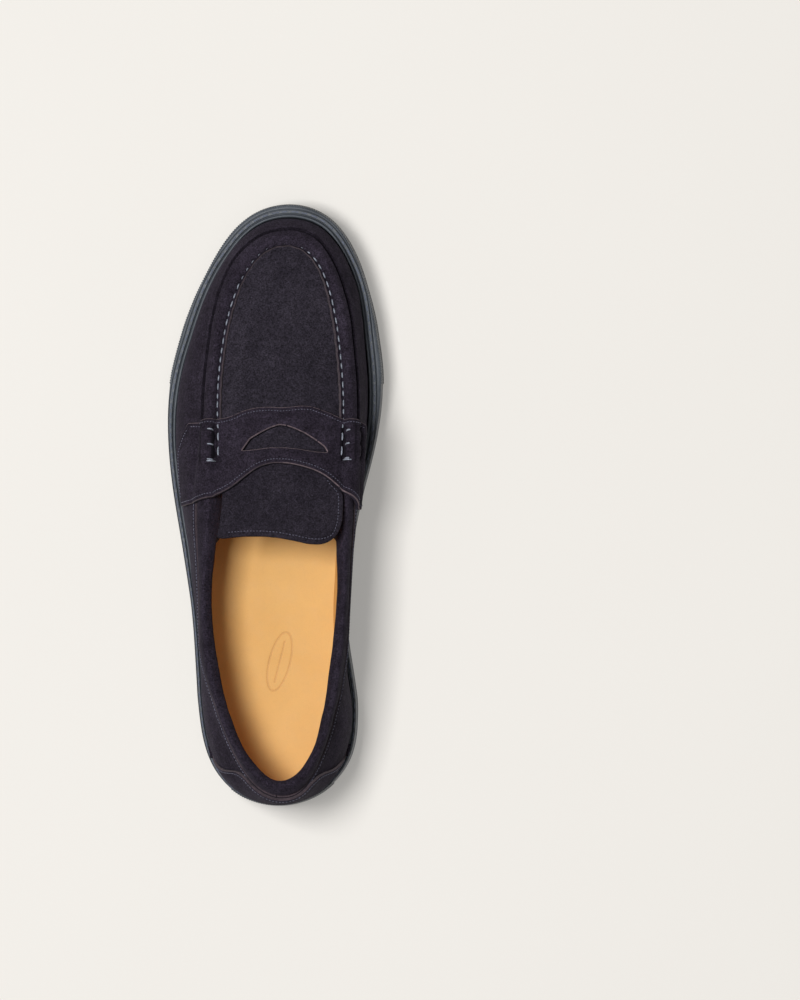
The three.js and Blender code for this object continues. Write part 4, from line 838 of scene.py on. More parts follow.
for node, m in (("midsole_filler", FILL_M), ("insole_board", BOARD_M), ("footbed_foam", FOAM_M), ("toe_puff", STIFF_M), ("heel_counter", STIFF_M), ("collar_foam", FOAM_M)):
    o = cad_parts[node]
    o.material_slots[0].material = m


# ---------- collar padding: soft_collar gives no offset ---
def soft_collar(T, H, base, normal):
    return np.zeros(T.shape)


# ---------- sole ----------
def sole_zone(t):
    u = np.asarray(t) % 8
    return ease(2.55, 2.85, u) * ease(5.45, 5.15, u) + ease(0.45, 0.15, u) + ease(7.53, 7.83, u)


def bumper(t):
    u = np.asarray(t) % 8
    return ease(2.695, 2.703, u) * ease(5.305, 5.297, u) + ease(0.304, 0.296, u) + ease(7.676, 7.684, u)


RS = ring(RING_S, TS) - 0.05 - 0.5 * sole_zone(TS)
SOLE = soften(plan(TS, RS), 4)
FEATHER = KNOTS[:, 1, :2]
CENTRE = np.column_stack([np.full(NT, SPINE_X), centre_y(TS)])
sole_s = np.concatenate([[0], np.cumsum(np.linalg.norm(np.diff(np.concatenate([SOLE, SOLE[:1]]), axis=0), axis=-1))])


def ring_at(G, t):
    u = (np.asarray(t) % 8) / 8 * NT
    i = np.floor(u).astype(int)
    w = cr(u - i)
    return sum(G[(i + a - 1) % NT] * (w[a][..., None] if G.ndim > 1 else w[a]) for a in range(4))


RIB = 1.25
t_of_s = lambda s: np.interp(s, sole_s, np.concatenate([TS, [8]]))
st = []
s = 0.0
while s < sole_s[-1] - 0.2:
    st.append(s)
    s += RIB / 4 if bumper(t_of_s(s)) > 0.01 or 0.01 < bumper(t_of_s(s + 1.1)) else 1.15
st = np.array(st)
tt = t_of_s(st)
S2, F2, C2 = ring_at(SOLE, tt), ring_at(FEATHER, tt), ring_at(CENTRE, tt)
w2 = np.linalg.norm(S2 - F2, axis=-1)
out = unit(S2 - C2)
zr, zg = rim_z(S2[:, 1]), ground_z(S2[:, 1])
bmp = bumper(tt)
rib = 0.5 + 0.5 * np.cos(2 * np.pi * st / RIB)
prof = []


def rim_pos(a, w):
    """Distance in from the outer edge of the feature at a on a 6.6 mm rim; a narrower rim loses its outer band."""
    band = np.maximum(w - 4.5, 0.3)
    return np.where(a <= 2.1, a * band / 2.1, band + (a - 2.1) * (w - band) / 4.5)


def rim_point(a, dz, ribs=0.0, push=0.0):
    xy = S2 - out * rim_pos(a, w2)[:, None] + out * (0.5 * bmp * push - ribs * bmp * (1 - rib))[:, None]
    prof.append(np.column_stack([xy, zr + dz]))


def side_point(f, inset_, ribs=0.0):
    z = zg + 3.6 + f * (zr - 3.2 - zg - 3.6)
    xy = S2 - out * inset_ + out * (0.5 * bmp - ribs * bmp * (1 - rib))[:, None]
    prof.append(np.column_stack([xy, z]))


for f in (0.0, 0.3, 0.6):                                  # underside, sunk between the tread bars
    prof.append(np.column_stack([C2 + (S2 - C2) * f, ground_z((C2 + (S2 - C2) * f)[:, 1]) + 1.2]))
for a, dz in ((6.4, 1.2), (6.1, 1.15), (5.8, 0.3), (5.3, 0.0), (2.6, 0.0), (1.5, 0.35), (0.7, 1.2), (0.2, 2.4)):
    prof.append(np.column_stack([S2 - out * a, zg + dz]))
side_point(0.0, 0.0)
side_point(0.12, -0.1)
side_point(0.20, -0.12)
for f, a in ((0.225, 0.1), (0.24, 0.45), (0.265, 0.45), (0.28, 0.05)):      # line moulded round the wall
    side_point(f, a)
side_point(0.31, -0.1, 0.0)
side_point(0.34, -0.12, 0.5)
side_point(0.55, -0.08, 0.5)
side_point(0.8, 0.0, 0.5)
side_point(0.93, 0.0, 0.5)
rim_point(0.0, -3.5, 0.5, 1)
rim_point(0.12, -2.9, 0.5, 1)
rim_point(0.35, -2.5, 0.48, 1)
rim_point(0.8, -2.25, 0.42, 0.9)
rim_point(1.5, -2.0, 0.1, 0.4)
for a, dz in ((1.9, -2.0), (2.03, -2.3), (2.2, -3.1), (2.38, -2.3), (2.46, -1.35), (2.7, -1.15), (3.05, -1.2), (3.3, -1.24), (3.55, -1.2), (3.9, -1.15), (4.1, -1.35),
              (4.16, -2.3), (4.4, -3.3), (4.64, -2.3), (4.7, -1.25), (4.92, -0.78), (5.3, -0.5), (5.75, -0.55), (6.05, -0.95), (6.2, -1.7), (6.4, -2.7), (6.55, -3.4)):
    rim_point(a, dz)
zi = bed_z(F2[:, 1])
uF = unit(F2 - C2)
for a, z in ((0.45, 0.6 * (zr - zi) + zi), (0.4, zi + 0.3 * (zr - zi)), (-0.4, zg + 4.0)):
    prof.append(np.column_stack([F2 + uF * a, z]))
for f in (0.6, 0.0):
    q = C2 + (F2 - C2) * f
    prof.append(np.column_stack([q, ground_z(q[:, 1]) + 4.0]))
G = np.stack(prof, 1)
cup = make("cupsole", G.reshape(-1, 3), [(quads(*G.shape[:2], ci=True, flip=True), 0)], [RUBBER], stands_for=["cupsole"], slot="sole_rubber", weld=2e-6)

# tread: wavy bars across the underside
V, F, n = [], [], 0
sx = lambda y, side: np.interp(y, *(lambda m: (SOLE[m, 1][np.argsort(SOLE[m, 1])], SOLE[m, 0][np.argsort(SOLE[m, 1])]))((SOLE[:, 0] < SPINE_X) if side < 0 else (SOLE[:, 0] >= SPINE_X)))
for y in np.arange(-140, 141, 5.4):
    xl, xr = float(sx(y, -1)) + 8.2, float(sx(y, 1)) - 8.2
    if xr - xl < 14 or -34 < y < 2:
        continue
    x = np.linspace(xl, xr, max(int((xr - xl) / 1.1), 8))
    yc = y + 1.5 * np.sin(2 * np.pi * x / 10.4)
    c = np.column_stack([x, yc])
    tg = unit(np.gradient(c, axis=0))
    nn = np.column_stack([-tg[:, 1], tg[:, 0]])
    endw = np.minimum(1, np.minimum(x - xl, xr - x) / 1.2 * 0.6 + 0.4)[:, None]
    zb = ground_z(yc)
    sec = []
    for a, dz in ((-1.5, 1.6), (-1.3, 0.35), (-1.0, 0.05), (1.0, 0.05), (1.3, 0.35), (1.5, 1.6)):
        sec.append(np.column_stack([c + nn * a * endw, zb + dz]))
    g = np.stack(sec, 1)
    V.append(g.reshape(-1, 3))
    F.append(quads(len(x), 6, n, cj=True))
    F.append(np.array([[n, n + 1, n + 2, n + 5], [n + 2, n + 3, n + 4, n + 5]])[:, ::-1])
    e = n + (len(x) - 1) * 6
    F.append(np.array([[e, e + 1, e + 2, e + 5], [e + 2, e + 3, e + 4, e + 5]]))
    n += len(x) * 6
make("outsole_tread", np.concatenate(V), [(np.concatenate(F)[:, ::-1], 0)], [RUBBER], slot="sole_rubber")

# stitches along the rim
mid = np.column_stack([ring_at(SOLE, TS) - unit(SOLE - CENTRE) * rim_pos(3.3, np.linalg.norm(SOLE - FEATHER, axis=-1))[:, None], rim_z(SOLE[:, 1]) - 1.22])
mid = np.concatenate([mid, mid[:1]])
V, F = stitch_mesh(stitch_line(mid, np.tile([0, 0, 1.0], (len(mid), 1)), 5.0, 3.9, wander=0.1), 0.34, 0.12, 0.5, flat=0.8)
make("sole_stitches", V, F, [DARK_THREAD], stands_for=["sole_stitch_thread"], slot="sole_thread")


# ---------- upper ----------
def h_from_arc(t, S):
    a = look(ARC, t[:, None], HS[None])
    return np.stack([np.interp(S[i], a[i], HS) for i in range(len(t))])


def arcs(t):
    return [look(ARC, t, np.full(len(t), float(h))) for h in (0, 3, 4, 5, 7)]


ring_len = lambda P: np.concatenate([[0], np.cumsum(np.linalg.norm(np.diff(P, axis=0), axis=-1))])
SEAM = KNOTS[:, 6]
seam_s = np.concatenate([[0], np.cumsum(np.linalg.norm(np.diff(np.concatenate([SEAM, SEAM[:1]]), axis=0), axis=-1))])
PITCH = 4.7
seam_at = lambda t: np.interp(np.asarray(t) % 8, np.concatenate([TS, [8]]), seam_s)


def inward(t):
    return unit(ring_at(CENTRE, t) - knot(6, t)[..., :2])


def margin_rows(t):
    xy = plan(t, ring(RING_F, t)[:, 0] - 0.8 - 11)
    return np.column_stack([xy, bed_z(xy[:, 1])])


# vamp: wall, ridge, and the flange that laps over the apron
n = 600
tv = np.linspace(STRAP_ROOT_T + 0.002, 8 - STRAP_ROOT_T - 0.002, n)
aF, aE, aC, aI, a7 = arcs(tv)
fr = np.linspace(0, 1, 13)[None]
S = np.concatenate([
    aF[:, None] + (aE - 5.0 - aF)[:, None] * fr,
    aE[:, None] + np.array([-4.2, -3.4, -2.7, -2.1, -1.6, -1.2, -0.85, -0.5, -0.2, 0.1, 0.4, 0.75, 1.15, 1.6, 2.1])[None],
    (aE + 2.7)[:, None] + (aI - 0.45 - aE - 2.7)[:, None] * np.linspace(0, 1, 11)[None]], 1)
h = h_from_arc(tv, S)
sE = S - aE[:, None]
g = sE / (aI - aE)[:, None]
T2 = np.broadcast_to(tv[:, None], h.shape)
front = ease(2.2, 2.5, T2) * ease(5.8, 5.5, T2)
toe = ease(3.15, 3.6, T2) * ease(4.85, 4.4, T2)
base = wall(T2, h)
nrm = unit(look(NORM, T2, h))
puck = np.cos(2 * np.pi * seam_at(T2) / PITCH)
d = (-2.3 * bell(sE + 0.45, 0.95) + 0.55 * bell(sE - 1.0, 0.6)) * (0.35 + 0.65 * front) + 0.30 * bell(sE + 2.2, 1.4) * front
d = d + 0.75 * np.sin(np.pi * np.clip(g, 0, 1)) ** 0.8 * (g > 0) * front
d = d - 0.16 * puck * ease(0.45, 0.95, g) * (0.4 + 0.6 * toe)
d = d + folds(base, 1) * (0.55 + 0.45 * ease(0, 1, S / aE[:, None]))
P = base + nrm * d[..., None]
inw = inward(tv)
tip = ease(3.3, 3.75, T2) * ease(4.5, 4.1, T2)
P[..., :2] += inw[:, None] * ((1.45 - 0.35 * puck) * bell(g - 0.83, 0.2) * tip)[..., None]
xin = np.array([0.10, 0.38, 0.68, 0.98, 1.32, 1.66])
lift = np.array([0.10, 0.12, 0.55, 1.12, 1.42, 1.48])
fxy = knot(6, tv)[:, None, :2] + inw[:, None] * (xin[None] + 0.12 * np.sin(seam_at(tv) * 0.9)[:, None] * ease(0.5, 1.5, xin)[None])[..., None]
fz = top_z(fxy[..., 0], fxy[..., 1]) + lift[None] * (0.25 + 0.75 * ease(39.5, 43.5, fxy[..., 1])) * (1 - 0.45 * tip[:, :1]) + (0.10 * noise(np.concatenate([fxy, 0 * fxy[..., :1]], -1), 6, 3)) * ease(0.6, 1.3, xin)[None]
fl = np.concatenate([fxy, fz[..., None]], -1)
foot = np.concatenate([margin_rows(tv)[:, None], wall(tv[:, None] * np.ones((1, 2)), np.array([[-1.0, -0.5]]) * np.ones((n, 1)))], 1)
P = np.concatenate([foot, P, fl], 1)
th = np.full(P.shape[:2], SUEDE)
th[:, -5:] = 1.35
# the flange's raw edge takes the darker cut-edge colour as painted shade
vamp_edge = (0.4, 0.5, True)
# painted shade: faces in the groove beside the ridge take the darker suede (material 3)
crease_shade = np.zeros(P.shape[:2], bool)
crease_shade[:, foot.shape[1]:foot.shape[1] + S.shape[1]] = (sE > -2.2) & (sE < 0.2) & (front > 0.35)
slab("vamp", P, th, [SUEDE_M, RAW_SHADED, LINING, SUEDE_SHADE], edges=(None, None, None, vamp_edge), under=0, paint=crease_shade, stands_for=["vamp"], slot="suede")


# apron
def top_surface(x, y, lift=0.0):
    P = np.stack([x, y, top_z(x, y) + lift], -1)
    dx = (top_z(x + 0.5, y) - top_z(x - 0.5, y))
    dy = (top_z(x, y + 0.5) - top_z(x, y - 0.5))
    return P, unit(np.stack([-dx, -dy, np.ones_like(dx)], -1))


ta = np.linspace(PLUG_END_T + 0.002, 8 - PLUG_END_T - 0.002, 400)
outline = knot(6, ta)[:, :2] + inward(ta) * 0.95
cut_sheet("apron", [outline], top_surface, -SUEDE, 0.0, [SUEDE_APRON, RAW], step=1.25, width=0.4, drop=0.35, raw=False,
          relief=lambda a, b, P: 0.30 * noise(P, 24, 11) + 0.10 * noise(P, 10, 12), stands_for=["apron"], slot="suede")

# seam stitches, in the groove between ridge and flange
ts = np.linspace(PLUG_END_T - 0.02, 8 - PLUG_END_T + 0.02, 900)
sxy = knot(6, ts)[:, :2] + inward(ts) * 0.22
sline = np.column_stack([sxy, top_z(sxy[:, 0], sxy[:, 1]) + 0.5])
V, F = stitch_mesh(stitch_line(sline, np.tile([0, 0, 1.0], (len(sline), 1)), PITCH, 2.9, phase=0.8, wander=0.12), 0.37, 0.26, 0.7, twist=0.10, flat=0.85)
make("apron_stitches", V, F, [HEAVY], stands_for=["apron_stitch_thread"], slot="heavy_thread")


# quarters
def quarter(name, t0, t1):
    n = 300
    t = np.linspace(t0, t1, n)
    aF, aE, aC, aI, a7 = arcs(t)
    S = np.concatenate([aF[:, None] + (aE - 4.0 - aF)[:, None] * np.linspace(0, 1, 30)[None], aE[:, None] + np.array([-3.3, -2.6, -2.0, -1.4, -0.9, 0.0])[None]], 1)
    h = h_from_arc(t, S)
    T2 = np.broadcast_to(t[:, None], h.shape)
    base = wall(T2, h)
    sE = S - aE[:, None]
    d = folds(base, 2) + 0.15 * noise(base * np.array([1, 1, 0.45]), 14, 7)
    d = d - 0.16 * bell(sE + 1.8, 0.7) + 0.12 * bell(sE + 3.6, 1.2)
    P = base + unit(look(NORM, T2, h)) * d[..., None]
    foot = np.concatenate([margin_rows(t)[:, None], wall(t[:, None] * np.ones((1, 2)), np.array([[-1.0, -0.5]]) * np.ones((n, 1)))], 1)
    P = np.concatenate([foot, P], 1)
    # the top raw edge takes the darker cut-edge colour as painted shade
    slab(name, P, SUEDE, [SUEDE_M, RAW_SHADED], edges=(None, None, None, (0.3, 0.4, True)), stands_for=[name], slot="suede")


quarter("quarter_lateral", 0.0022, STRAP_ROOT_T - 0.002)
quarter("quarter_medial", 8 - STRAP_ROOT_T + 0.002, 8 - 0.0022)

# collar
n = 680
tc = np.linspace(-STRAP_ROOT_T + 0.002, STRAP_ROOT_T - 0.002, n)
aF, aE, aC, aI, a7 = arcs(tc)
S = np.concatenate([
    aE[:, None] + np.array([-1.2, -0.6, -0.1, 0.4, 0.9, 1.4, 2.0])[None],
    (aE + 2.7)[:, None] + (aI - aE - 2.7)[:, None] * np.linspace(0, 1, 16)[None],
    aI[:, None] + (a7 - aI)[:, None] * np.linspace(0, 1, 14)[None, 1:]], 1)
hc = h_from_arc(tc, S)
Tc = np.broadcast_to(tc[:, None], hc.shape)
sE = S - aE[:, None]
gc = sE / (aI - aE)[:, None]
cbase = wall(Tc, hc)
cn = unit(look(NORM, Tc, hc))
puff = soft_collar(Tc, hc, cbase, cn)
crease = noise(np.stack([seam_at(Tc) / 9.0, gc * 1.2, 0 * gc], -1), 1.0, 4)
d = -1.15 * (1 - ease(-0.1, 2.4, sE)) + 0.35 * np.sin(np.pi * np.clip(gc, 0, 1)) + 0.22 * crease * np.sin(np.pi * np.clip(gc * 0.8, 0, 1)) + 0.12 * noise(cbase, 7, 9)
P = cbase + cn * (d + puff)[..., None]
facing = 4.5 * ease(4.95, 6.6, hc) * ease(-21, -13, cbase[..., 1])      # the band thickens inside, beside the tongue
facing = facing + ease(4.2, 5.6, hc) * (0.9 * ease(0.3, 0.9, Tc) + 0.5 * ease(-0.5, -1.0, Tc))
P[..., :2] += inward(tc)[:, None] * facing[..., None]
collar = slab("collar_band", P, 1.2, [SUEDE_M, RAW], stands_for=["collar_band"], slot="suede")

# stitches below the collar seam
for nm, sgn in (("collar_stitches", 1),):
    t = np.linspace(-2.14, 2.14, 1200)
    aF, aE, aC, aI, a7 = arcs(t)
    h = h_from_arc(t, (aE - 1.8)[:, None])[:, 0]
    pl = wall(t, h)
    nn = unit(look(NORM, t, h))
    V, F = stitch_mesh(stitch_line(pl, nn, 1.75, 1.2, wander=0.04), 0.2, 0.12, 0.3, sides=6, steps=6)
    make(nm, V, F, [FINE], stands_for=["collar_stitch_thread"], slot="fine_thread")

# heel patch
n = 110
tp = np.linspace(-0.575, 0.575, n)
f = np.concatenate([np.linspace(0, 0.9, 40), np.linspace(0.92, 1, 8)])
hp = -0.4 + (patch(np.abs(tp)) + 0.4)[:, None] * f[None]
Tp = np.broadcast_to(tp[:, None], hp.shape)
pb = wall(Tp, hp)
rise = 0.22 + 1.33 * ease(0.572, 0.46, np.abs(Tp)) * ease(0.4, 1.7, hp)          # skived down to nothing at its two front ends
P = pb + unit(look(NORM, Tp, hp)) * (rise + 0.5 * folds(pb, 6))[..., None]
# the top raw edge takes the darker cut-edge colour as painted shade
slab("heel_patch", P, 1.3, [SUEDE_M, RAW_SHADED], edges=(None, None, None, (0.3, 0.45, True)), stands_for=["heel_patch"], slot="suede")
tq = np.linspace(-0.47, 0.47, 460)
hq = patch(np.abs(tq)) - 0.0
aa = look(ARC, tq, hq)
hq = h_from_arc(tq, (aa - 2.0)[:, None])[:, 0]
pl, nn = wall(tq, hq), unit(look(NORM, tq, hq))
lift_ = 0.22 + 1.33 * ease(0.572, 0.46, np.abs(tq)) * ease(0.4, 1.7, hq)
V, F = stitch_mesh(stitch_line(pl + nn * lift_[:, None], nn, 1.7, 1.15, wander=0.04), 0.2, 0.14, 0.3, sides=6, steps=6)
make("heel_patch_stitches", V, F, [FINE], slot="fine_thread")

# linings
LIN0, LIN1 = 3.6, 4.6
GAPF = 0.35
bed_top = lambda y: bed_z(y) + SUEDE + GAPF + 2.0 + 2 * GAPF + foam_t(y) + 1.3


def lasted(t):
    """The lining's lower margin: straight down behind the edge of the footbed cover."""
    w = wall(t, np.full(len(t), 0.05), np.full(len(t), -LIN0))
    low = np.minimum(w[:, 2] - 0.6, bed_top(w[:, 1]) - 0.4)
    return [np.column_stack([w[:, :2], w[:, 2] * (1 - f) + low * f]) for f in (1.0, 0.66, 0.33)]


def lining(name, t, rows, tops=()):
    g = lasted(t)
    for hh, dd in rows:
        g.append(wall(t, np.full(len(t), hh), np.full(len(t), -dd)))
    for f in tops:
        q = knot(6, t)[:, :2] * f + ring_at(CENTRE, t) * (1 - f)
        g.append(np.column_stack([q, top_z(q[:, 0], q[:, 1]) - SUEDE - 1.9]))
    P = np.stack(g, 1)
    P = P + grid_normals(P) * (0.15 * noise(P, 12, 8))[..., None]
    return P


t = np.linspace(PLUG_END_T + 0.002, 8 - PLUG_END_T - 0.002, 360)
P = lining("vamp_lining", t, [(0.05, LIN0), (0.5, LIN0), (1, LIN0), (1.5, LIN0), (2, LIN0), (2.4, LIN0), (2.8, LIN0)], (0.93, 0.8, 0.62, 0.45, 0.31, 0.15, 0))
slab("vamp_lining", P, 1.0, [LINING, LINING], stands_for=["vamp_lining"], slot="lining_leather", weld=None or 0.0)
for name, a, b in (("quarter_lining_lateral", 0.0022, PLUG_END_T - 0.002), ("quarter_lining_medial", 8 - PLUG_END_T + 0.002, 8 - 0.0022)):
    t = np.linspace(a, b, 240)
    k8 = knot(8, t)
    cen = ring_at(CENTRE, t)
    head = k8.copy()
    head[:, :2] -= unit(k8[:, :2] - cen) * -0.3
    head[:, 2] -= 0.65
    low = wall(t, np.full(len(t), 2.0), np.full(len(t), -(LIN0 + 0.3)))
    rows = lasted(t) + [wall(t, np.full(len(t), hh), np.full(len(t), -LIN0)) for hh in (0.05, 0.3, 0.65, 1.0, 1.5)]
    rows.append(low)
    for f in (0.25, 0.5, 0.75, 1.0):
        rows.append(low * (1 - f) + head * f)
    P = np.stack(rows, 1)
    P = P + grid_normals(P) * (0.18 * noise(P, 14, 8))[..., None]
    slab(name, P, 1.0, [LINING, LINING], stands_for=[name], slot="lining_leather")


# footbed
hh_ = np.linspace(0.0, 2.0, 41)
inner_face = wall(TS[:, None] * np.ones((1, 41)), np.ones((NT, 1)) * hh_[None], np.full((NT, 41), -4.05))
want = bed_top(FEATHER[:, 1]) + 1.0
SOCK_LINE = np.array([[np.interp(want[i], inner_face[i, :, 2], inner_face[i, :, k]) for k in (0, 1)] for i in range(NT)])
SOCK_LINE = soften(SOCK_LINE, 3)
BC, BA, BB, BT = np.array([2.2, -78.0]), 5.2, 15.0, math.radians(-14)


def badge(a, b):
    """Distance in mm from a slim oval line pressed into the leather."""
    x, y = a - BC[0], b - BC[1]
    u, v = x * math.cos(BT) + y * math.sin(BT), -x * math.sin(BT) + y * math.cos(BT)
    r = np.sqrt((u / BA) ** 2 + (v / BB) ** 2) + 1e-6
    grad = np.sqrt((u / BA**2) ** 2 + (v / BB**2) ** 2) / r + 1e-6
    return (r - 1) / grad, u, v


def bed_surface(x, y):
    z = bed_top(y)
    P = np.stack([x, y, z], -1)
    dy = bed_top(y + 0.5) - bed_top(y - 0.5)
    return P, unit(np.stack([0 * dy, -dy, np.ones_like(dy)], -1))


def bed_relief(x, y, P):
    d = np.full(len(x), 1e9)
    line = SOCK_LINE[::4]
    for c in range(0, len(line), 64):
        d = np.minimum(d, np.min(np.hypot(x[:, None] - line[None, c:c + 64, 0], y[:, None] - line[None, c:c + 64, 1]), 1))
    cup_ = 2.6 * (1 - np.clip(d / 15, 0, 1)) ** 2.2 + 0.12 * noise(P, 30, 2)
    e, u, v = badge(x, y)
    return cup_ - 0.35 * bell(e, 0.42) - 0.3 * bell(u, 0.42) * ease(11.0, 10.4, np.abs(v))


q = np.stack(np.meshgrid(np.arange(-7.5, 8, 0.36), np.arange(-17, 17.1, 0.36)), -1).reshape(-1, 2)
q = q[np.hypot(q[:, 0] / (BA + 1.4), q[:, 1] / (BB + 1.4)) < 1]
ext = np.column_stack([q[:, 0] * math.cos(BT) - q[:, 1] * math.sin(BT) + BC[0], q[:, 0] * math.sin(BT) + q[:, 1] * math.cos(BT) + BC[1]])
cut_sheet("sock_liner", [SOCK_LINE], bed_surface, -1.3, 0.0, [FOOTBED, PRESSED], step=2.2, edge_step=1.4, width=0.6, drop=0.4, raw=False, relief=bed_relief, extra=ext, paint=lambda a, b: ((np.abs(badge(a, b)[0]) < 0.42) | ((np.abs(badge(a, b)[1]) < 0.42) & (np.abs(badge(a, b)[2]) < 10.8))).astype(int),
          stands_for=["sock_liner"], slot="footbed_leather")


# ---------- saddle strap ----------
def saddle(p, y):
    """Place across the upper p (0 middle, 2 seam, 3 crest, 4 foot of the ridge, 5 wall, 6 low bulge) at y."""
    p, y = np.broadcast_arrays(np.asarray(p, float), np.asarray(y, float))
    side = np.where(p < 0, -1.0, 1.0)
    a = np.abs(p)
    t = station_of_y(y, side)
    K = [knot(k, t) for k in range(7)]
    xi = K[6][..., 0] - side * 1.2
    zi_ = top_z(xi, y)
    tl, tr = station_of_y(y, -1 + 0 * y), station_of_y(y, 1 + 0 * y)
    xl, xr = knot(6, tl)[..., 0] + 1.2, knot(6, tr)[..., 0] - 1.2
    xm = xl + (xr - xl) * (p + 2) / 4
    mid_ = np.stack([xm, y, top_z(xm, y)], -1)
    C = K[5].copy()
    C[..., 2] = np.maximum(C[..., 2], top_z(C[..., 0], y) + 0.1)
    I_ = np.stack([xi, y, zi_], -1)
    xj = xi - side * 6
    J_ = np.stack([xj, y, top_z(xj, y)], -1)
    Kn = np.stack([K[1], K[2], K[3], K[4], C, I_, J_], -2)
    Kn[..., 1] = y[..., None]
    outer = through(Kn, np.clip(7 - a, 0, 6))
    w = ease(1.9, 2.05, a)[..., None]
    return np.where((a <= 2)[..., None], mid_, outer)


def saddle_frame(p, y):
    e = 0.04
    dp = saddle(p + e, y) - saddle(p - e, y)
    dy = saddle(p, y + 0.4) - saddle(p, y - 0.4)
    return saddle(p, y), unit(np.cross(dp, dy))


def strap_y(p, edge):
    y = np.full(np.shape(p), 20.0)
    for _ in range(14):
        y = edge(saddle(p, y)[..., 0])
    return y


# flat domain: a = length across at y = 22, b = y
pp = np.linspace(-6.3, 6.3, 1261)
cl = saddle(pp, np.full(len(pp), 22.0))
aa_ = np.concatenate([[0], np.cumsum(np.linalg.norm(np.diff(cl, axis=0), axis=-1))])
aa_ -= np.interp(0, pp, aa_)
a_of_p = lambda p: np.interp(p, pp, aa_)
p_of_a = lambda a: np.interp(a, aa_, pp)
qs = np.linspace(-1, 1, 241)
yf, yb = strap_y(qs * tab(0), strap_front), strap_y(qs * tab(1), strap_back)
ws = np.linspace(0, 1, 50)
front_l = np.column_stack([a_of_p(qs * tab(0)), yf])
back_l = np.column_stack([a_of_p(qs * tab(1)), yb])
right_l = np.column_stack([a_of_p(tab(ws)), yf[-1] + (yb[-1] - yf[-1]) * ws])
left_l = np.column_stack([a_of_p(-tab(ws)), yf[0] + (yb[0] - yf[0]) * ws])
border = np.concatenate([front_l, right_l[1:], back_l[::-1][1:], left_l[::-1][1:-1]])
border = resample(border, step=0.5, closed=True)
k = np.exp(-(np.arange(-6, 7) / 2.2) ** 2)
k /= k.sum()
border = np.stack([np.convolve(np.concatenate([border[-6:, c], border[:, c], border[:6, c]]), k, "valid") for c in (0, 1)], -1)


def strap_surface(a, b):
    return saddle_frame(p_of_a(a), b)


LASH_Y = {-1: [37.4, 30.0, 22.6], 1: [37.0, 30.3, 23.2]}


def strap_relief(a, b, P=None):
    p = p_of_a(a)
    side = np.where(p < 0, -1, 1)
    ap = np.abs(p)
    d = np.zeros(np.shape(a))
    for sd in (-1, 1):
        ys = LASH_Y[sd]
        m = side == sd
        within = ease(ys[2] - 2.5, ys[2] + 0.5, b) * ease(ys[0] + 4.5, ys[0] + 1.0, b)
        lobe = bell(ap - 3.3, 0.5) * 1.7
        recess = bell(ap - 2.44, 0.34) * -2.7
        notch = sum(bell(b - y, 1.0) for y in ys) * (bell(ap - 3.1, 0.7) * -1.9)
        foot_ = bell(ap - 4.02, 0.17) * -2.3
        d = d + np.where(m, (lobe + notch) * (0.35 + 0.65 * within) + (recess + foot_) * (0.35 + 0.65 * within), 0)
    Q = np.stack([a, b, 0 * a], -1)
    return d + 0.25 * noise(Q, 16, 5) + 0.10 * noise(Q, 6, 6)


# painted shade for the strap: the recess beside each lashing and the crease at the foot of each roll are darkened in
# the colour
painted_shade_boxes = []
for sd in (-1, 1):
    xr_, xf_ = [float(saddle(np.array(sd * v), np.array(31.0))[0]) for v in (2.42, 4.0)]
    painted_shade_boxes += [(xr_ - 1.5, xr_ + 1.5, 22.5, 39.5, 0.72), (xf_ - 0.45, xf_ + 0.45, 21.5, 41.5, 0.62)]
SUEDE_STRAP = suede("suede_navy_strap", (0.0090, 0.0074, 0.0107, 1), (0.0160, 0.0133, 0.0189, 1), (0.029, 0.0246, 0.035, 1), nap=(1, 0.7, 1), painted_shade_boxes=painted_shade_boxes)
slot_l = np.array(SLOT, float)
# rounded slot outline in plan, carried into the flat domain
sl = resample(slot_l, step=0.5, closed=True)
k = np.exp(-(np.arange(-3, 4) / 1.3) ** 2)
k /= k.sum()
sl = np.stack([np.convolve(np.concatenate([sl[-3:, c], sl[:, c], sl[:3, c]]), k, "valid") for c in (0, 1)], -1)
pa, yb_ = sl[:, 0] / 15.0, sl[:, 1].copy()
D1 = STRAP_LIFT + STRAP
for _ in range(12):
    Pn, Nn = saddle_frame(pa, yb_)
    now = Pn + Nn * D1
    pa = pa + (sl[:, 0] - now[:, 0]) / 15.5
    yb_ = yb_ + (sl[:, 1] - now[:, 1])
slot_dom = np.column_stack([a_of_p(pa), yb_])
# the raw back edge on the lateral half takes the darker cut-edge colour as painted shade
cut_sheet("saddle_strap", [border, slot_dom], strap_surface, STRAP_LIFT, D1, [SUEDE_STRAP, RAW, RAW_SHADED], step=0.8, width=0.4, drop=0.5, raw=True, wall_raw=False, relief=strap_relief, shade_mask=lambda a, b: (b < 24) & (a < 2),
          stands_for=["saddle_strap"], slot="suede")


def strap_line(line, lift_=0.0):
    P, N = strap_surface(line[:, 0], line[:, 1])
    e = strap_relief(line[:, 0], line[:, 1])
    return P + N * (D1 + e + lift_)[:, None], N


def inner_line(line, dist, trim0, trim1):
    q = shifted_open(line, dist)
    q = resample(q, step=0.25)
    c = int(trim0 / 0.25), len(q) - int(trim1 / 0.25)
    return q[c[0]:c[1]]


def shifted_open(line, dist):
    t = unit(np.gradient(line, axis=0))
    return line + np.stack([-t[:, 1], t[:, 0]], -1) * dist


